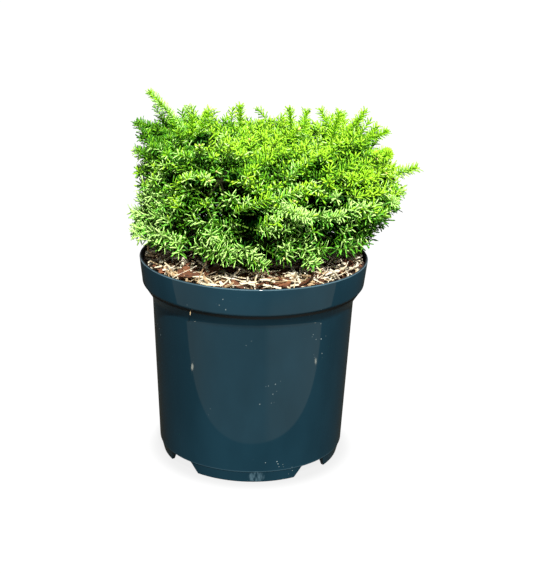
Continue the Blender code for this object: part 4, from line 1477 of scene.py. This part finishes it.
for name, (first, second, shine) in NEEDLE_SWATCHES.items():
    finish = drifting_surface(f"needles_{name}", swatch(*first), swatch(*second), 210.0,
                              Roughness=0.40, Specular_IOR_Level=shine)[0]
    faces = sum(len(kind) * sum(map(len, needle_groups[name, full]))
                for full, kind in ((True, FULL_FACES), (False, PLAIN_FACES)))
    parts = math.ceil(faces / PIECE_FACES)
    for part in range(parts):
        label = f"needles_{name}_{part + 1}"
        finish_piece(label, needle_mesh(name, part, parts), finish, foliage_nodes)

# %% [markdown]
# Under the needles are the twigs, brown where they are old and green where they grew this
# year, and at the ends of some shoots sit small plump buds. All are tubes of few sides, gathered
# in heaps like the splinters.

# %% Grow the buds and the twigs
BUD_SHARE = 0.07              # of the shoots that end in a bud that shows
BUD_LENGTH = 0.0026
BUD_RADIUS = 0.0009
BUD_OUTLINE = ((-0.3, 0.5), (0.0, 0.85), (0.35, 1.0), (0.75, 0.7), (1.0, 0.25))    # along it, and its girth
OLD_RADII = (0.0011, 0.00105, 0.00095, 0.00085, 0.0008)
YOUNG_RADII = (0.00075, 0.00068, 0.00058, 0.0004)
YOUNG_SHARE = 0.97            # a shoot's wood ends this far along it
rng_buds = random.Random("buds 3")


def bud(shoot, size):
    """Path and radii of a bud at a shoot's end."""
    way = (shoot.way + shoot.bend * 2).normalized()
    foot = shoot.root + (shoot.way + shoot.bend) * shoot.length
    return ([foot + way * BUD_LENGTH * along for along, _ in BUD_OUTLINE],
            [size * girth for _, girth in BUD_OUTLINE])


def young_path(shoot):
    """Points along a bent shoot."""
    last = len(YOUNG_RADII) - 1
    return [shoot.root + (shoot.way * share + shoot.bend * share ** 2) * (shoot.length * YOUNG_SHARE)
            for share in (index / last for index in range(last + 1))]


def tubes(name, lines, sides):
    """One mesh of tubes, each given by its path and radii."""
    heap = Heap()
    for path, radii in lines:
        heap.add(*tube_arrays(path, radii, sides))
    return heap.mesh(name)


buds = [bud(shoot, BUD_RADIUS * rng_buds.uniform(0.8, 1.2)) for shoot in shoots
        if shoot.rank < 2 and rng_buds.random() < BUD_SHARE]
old = [([a, a.lerp(b, 0.5), b, b.lerp(c, 0.5), c], OLD_RADII) for a, b, c in twigs]
young = [(young_path(shoot), YOUNG_RADII) for shoot in shoots]
bud_scales = conifer_bark("bud_scales", (232, 220, 146), (204, 188, 106), 400.0, 0.3)
# The old twigs' near-black tones paint the shade inside the crown.
young_bark = conifer_bark("young_bark", (34, 38, 16), (16, 20, 8), 300.0, 0.4)
green_wood = conifer_bark("green_wood", (96, 136, 42), (66, 104, 26), 300.0, 0.3)
finish_piece("buds", tubes("buds", buds, 6), bud_scales, smooth_angle=1.0)
finish_piece("twigs_old", tubes("twigs_old", old, 6), young_bark, smooth_angle=1.2)
finish_piece("twigs_young", tubes("twigs_young", young, 4), green_wood, smooth_angle=1.2)

# %% [markdown]
# ## The floor
# A plain pale sheet lies under the pot. A glossy dark pot mirrors whatever lies round it, so a studio lays
# dark cloth beside it and a grey card in front. Real cloth and card would show beside it. Here the floor
# paints those reflections: to mirrored rays it glows as that cloth and card, with two small painted glints,
# and it shows as the pale sheet to everything else, with a painted shadow round the pot's foot. The painted
# card has a bowed near edge, is brighter on its two sides than in its middle, and fades away from the pot.

# %% Lay the floor
FLOOR_SIDE = 60.0
CARD_EDGE = -0.121            # the card in front of the pot starts here, along Y
CARD_EDGE_SOFT = 0.002
CARD_BOWS = (0.030, 0.054)    # and this much nearer the pot at its left and right
CARD_HALF = 0.26
CLOTH_GLOW = 0.05
CARD_GLOW = (0.24, 0.40)      # of its middle, and of a second card laid over its right side
CARD_TURNS = (-0.20, -0.34)   # whose soft edge lies along these slopes, across over away
LEFT_GLOW = 0.34              # of its far left
LEFT_TURNS = (0.5, 1.5)
FADED_GLOW = 0.12
CARD_FADE = (-0.34, -0.62)    # it fades to that from here to here, along Y
MIRRORED_COLOUR = (1.0, 0.99, 0.80, 1)
GLINTS = (                     # painted glints, seen only in reflections, on the card and before it: x, y, radius and glow
    (-0.196, -0.099, 0.0065, 6.0), (0.218, -0.081, 0.006, 5.0),
)
SHEET_WHITE = 1.10
SHEET_GLOW = 0.93             # how much of the sheet's white is its own, which softens shadows
SHADE_REACH = 0.096           # painted shadow: the sheet darkens round the pot's foot as far as this from its axis
FOOT_SHADE = 0.82             # to this share of its white


def mirrored_glow(tree, place):
    """How bright the floor's painted reflections glow to mirrored rays."""
    parts = add_node(tree, "ShaderNodeSeparateXYZ", Vector=place)
    x, y = parts.outputs["X"], parts.outputs["Y"]
    edge = y
    for reach, bow in zip((-CARD_HALF, CARD_HALF), CARD_BOWS):
        edge = maths(tree, "SUBTRACT", edge, mapped(tree, x, end=reach, smooth=True, To_Max=bow))
    slope = maths(tree, "DIVIDE", x, y)
    glow = mapped(tree, slope, *CARD_TURNS, To_Min=CARD_GLOW[0], To_Max=CARD_GLOW[1])
    glow = mapped(tree, slope, *LEFT_TURNS, To_Min=glow, To_Max=LEFT_GLOW)
    glow = mapped(tree, y, *CARD_FADE, To_Min=glow, To_Max=FADED_GLOW)
    glow = mapped(tree, edge, CARD_EDGE, CARD_EDGE - CARD_EDGE_SOFT, To_Min=CLOTH_GLOW, To_Max=glow)
    for across, along, radius, strength in GLINTS:
        off = distance(tree, place, (across, along, 0))
        glow = maths(tree, "ADD", glow, mapped(tree, off, radius, radius * 0.6, To_Max=strength))
    return glow


def mixed_shader(tree, share, first, second):
    """Two shaders mixed by a share or a mask."""
    node = add_node(tree, "ShaderNodeMixShader", Fac=share)
    feed(tree, node.inputs[1], first.outputs[0])
    feed(tree, node.inputs[2], second.outputs[0])
    return node


def floor_finish():
    """A pale sheet with soft shadows and a painted shadow round the pot's foot, which paints reflections of
    dark cloth with a grey card.
    """
    material, tree, shader = drifting_surface("floor_sheet", swatch(134, 134, 134), swatch(131, 131, 132),
                                              3.0, Roughness=0.9, Specular_IOR_Level=0.0)
    place = object_place(tree)
    # Painted reflections: to mirrored rays the floor glows as cloth, card and glints.
    mirrored = add_node(tree, "ShaderNodeEmission", Color=MIRRORED_COLOUR,
                        Strength=mirrored_glow(tree, place))
    # Painted shadow on the sheet round the pot's foot.
    shade = mapped(tree, distance(tree, place), SOLE_RADIUS, SHADE_REACH, smooth=True,
                   To_Min=SHEET_WHITE * FOOT_SHADE, To_Max=SHEET_WHITE)
    white = add_node(tree, "ShaderNodeEmission", Strength=shade)
    light = add_node(tree, "ShaderNodeLightPath").outputs
    soft = mixed_shader(tree, SHEET_GLOW, shader, white)
    seen = mixed_shader(tree, light["Is Camera Ray"], shader, soft)
    whole = mixed_shader(tree, light["Is Glossy Ray"], seen, mirrored)
    feed(tree, tree.nodes["Material Output"].inputs["Surface"], whole.outputs[0])
    return material


work = bmesh.new()
bmesh.ops.create_grid(work, x_segments=2, y_segments=2, size=FLOOR_SIDE / 2)
floor = put("floor", mesh_from("floor", work))
floor.data.materials.append(floor_finish())
print("a floor of", FLOOR_SIDE, "metres is in place")

# %% [markdown]
# ## The light
# An even sky fills the shadows, and one sun of soft edge stands high behind the camera, a
# little to the right. The sky is brighter to mirrored rays, which gives the plastic its sheen
# without washing out the leaves.

# %% Light the scene
SKY_COLOUR = (0.95, 0.98, 1.0, 1)
SKY_GLOW = 0.24
SKY_MIRRORED = 0.6
SUN_STRENGTH = 7.0
SUN_ANGLE = math.radians(2.5)
SUN_COLOUR = (1.0, 0.985, 0.95)
SUN_WAY = Vector((0.16, -0.95, 1.00)).normalized()     # from the pot towards the sun

world = bpy.data.worlds.new("studio")
world.use_nodes = True
sky = world.node_tree.nodes["Background"]
sky.inputs["Color"].default_value = SKY_COLOUR
rays = add_node(world.node_tree, "ShaderNodeLightPath")
glow = mapped(world.node_tree, rays.outputs["Is Glossy Ray"], To_Min=SKY_GLOW, To_Max=SKY_MIRRORED)
feed(world.node_tree, sky.inputs["Strength"], glow)
bpy.context.scene.world = world
sun = put("key", bpy.data.lights.new("key", "SUN"))
sun.data.energy = SUN_STRENGTH
sun.data.angle = SUN_ANGLE
sun.data.color = SUN_COLOUR
aim(sun, SUN_WAY)
bpy.context.scene.view_settings.view_transform = "Standard"
print("sky and sun are in place")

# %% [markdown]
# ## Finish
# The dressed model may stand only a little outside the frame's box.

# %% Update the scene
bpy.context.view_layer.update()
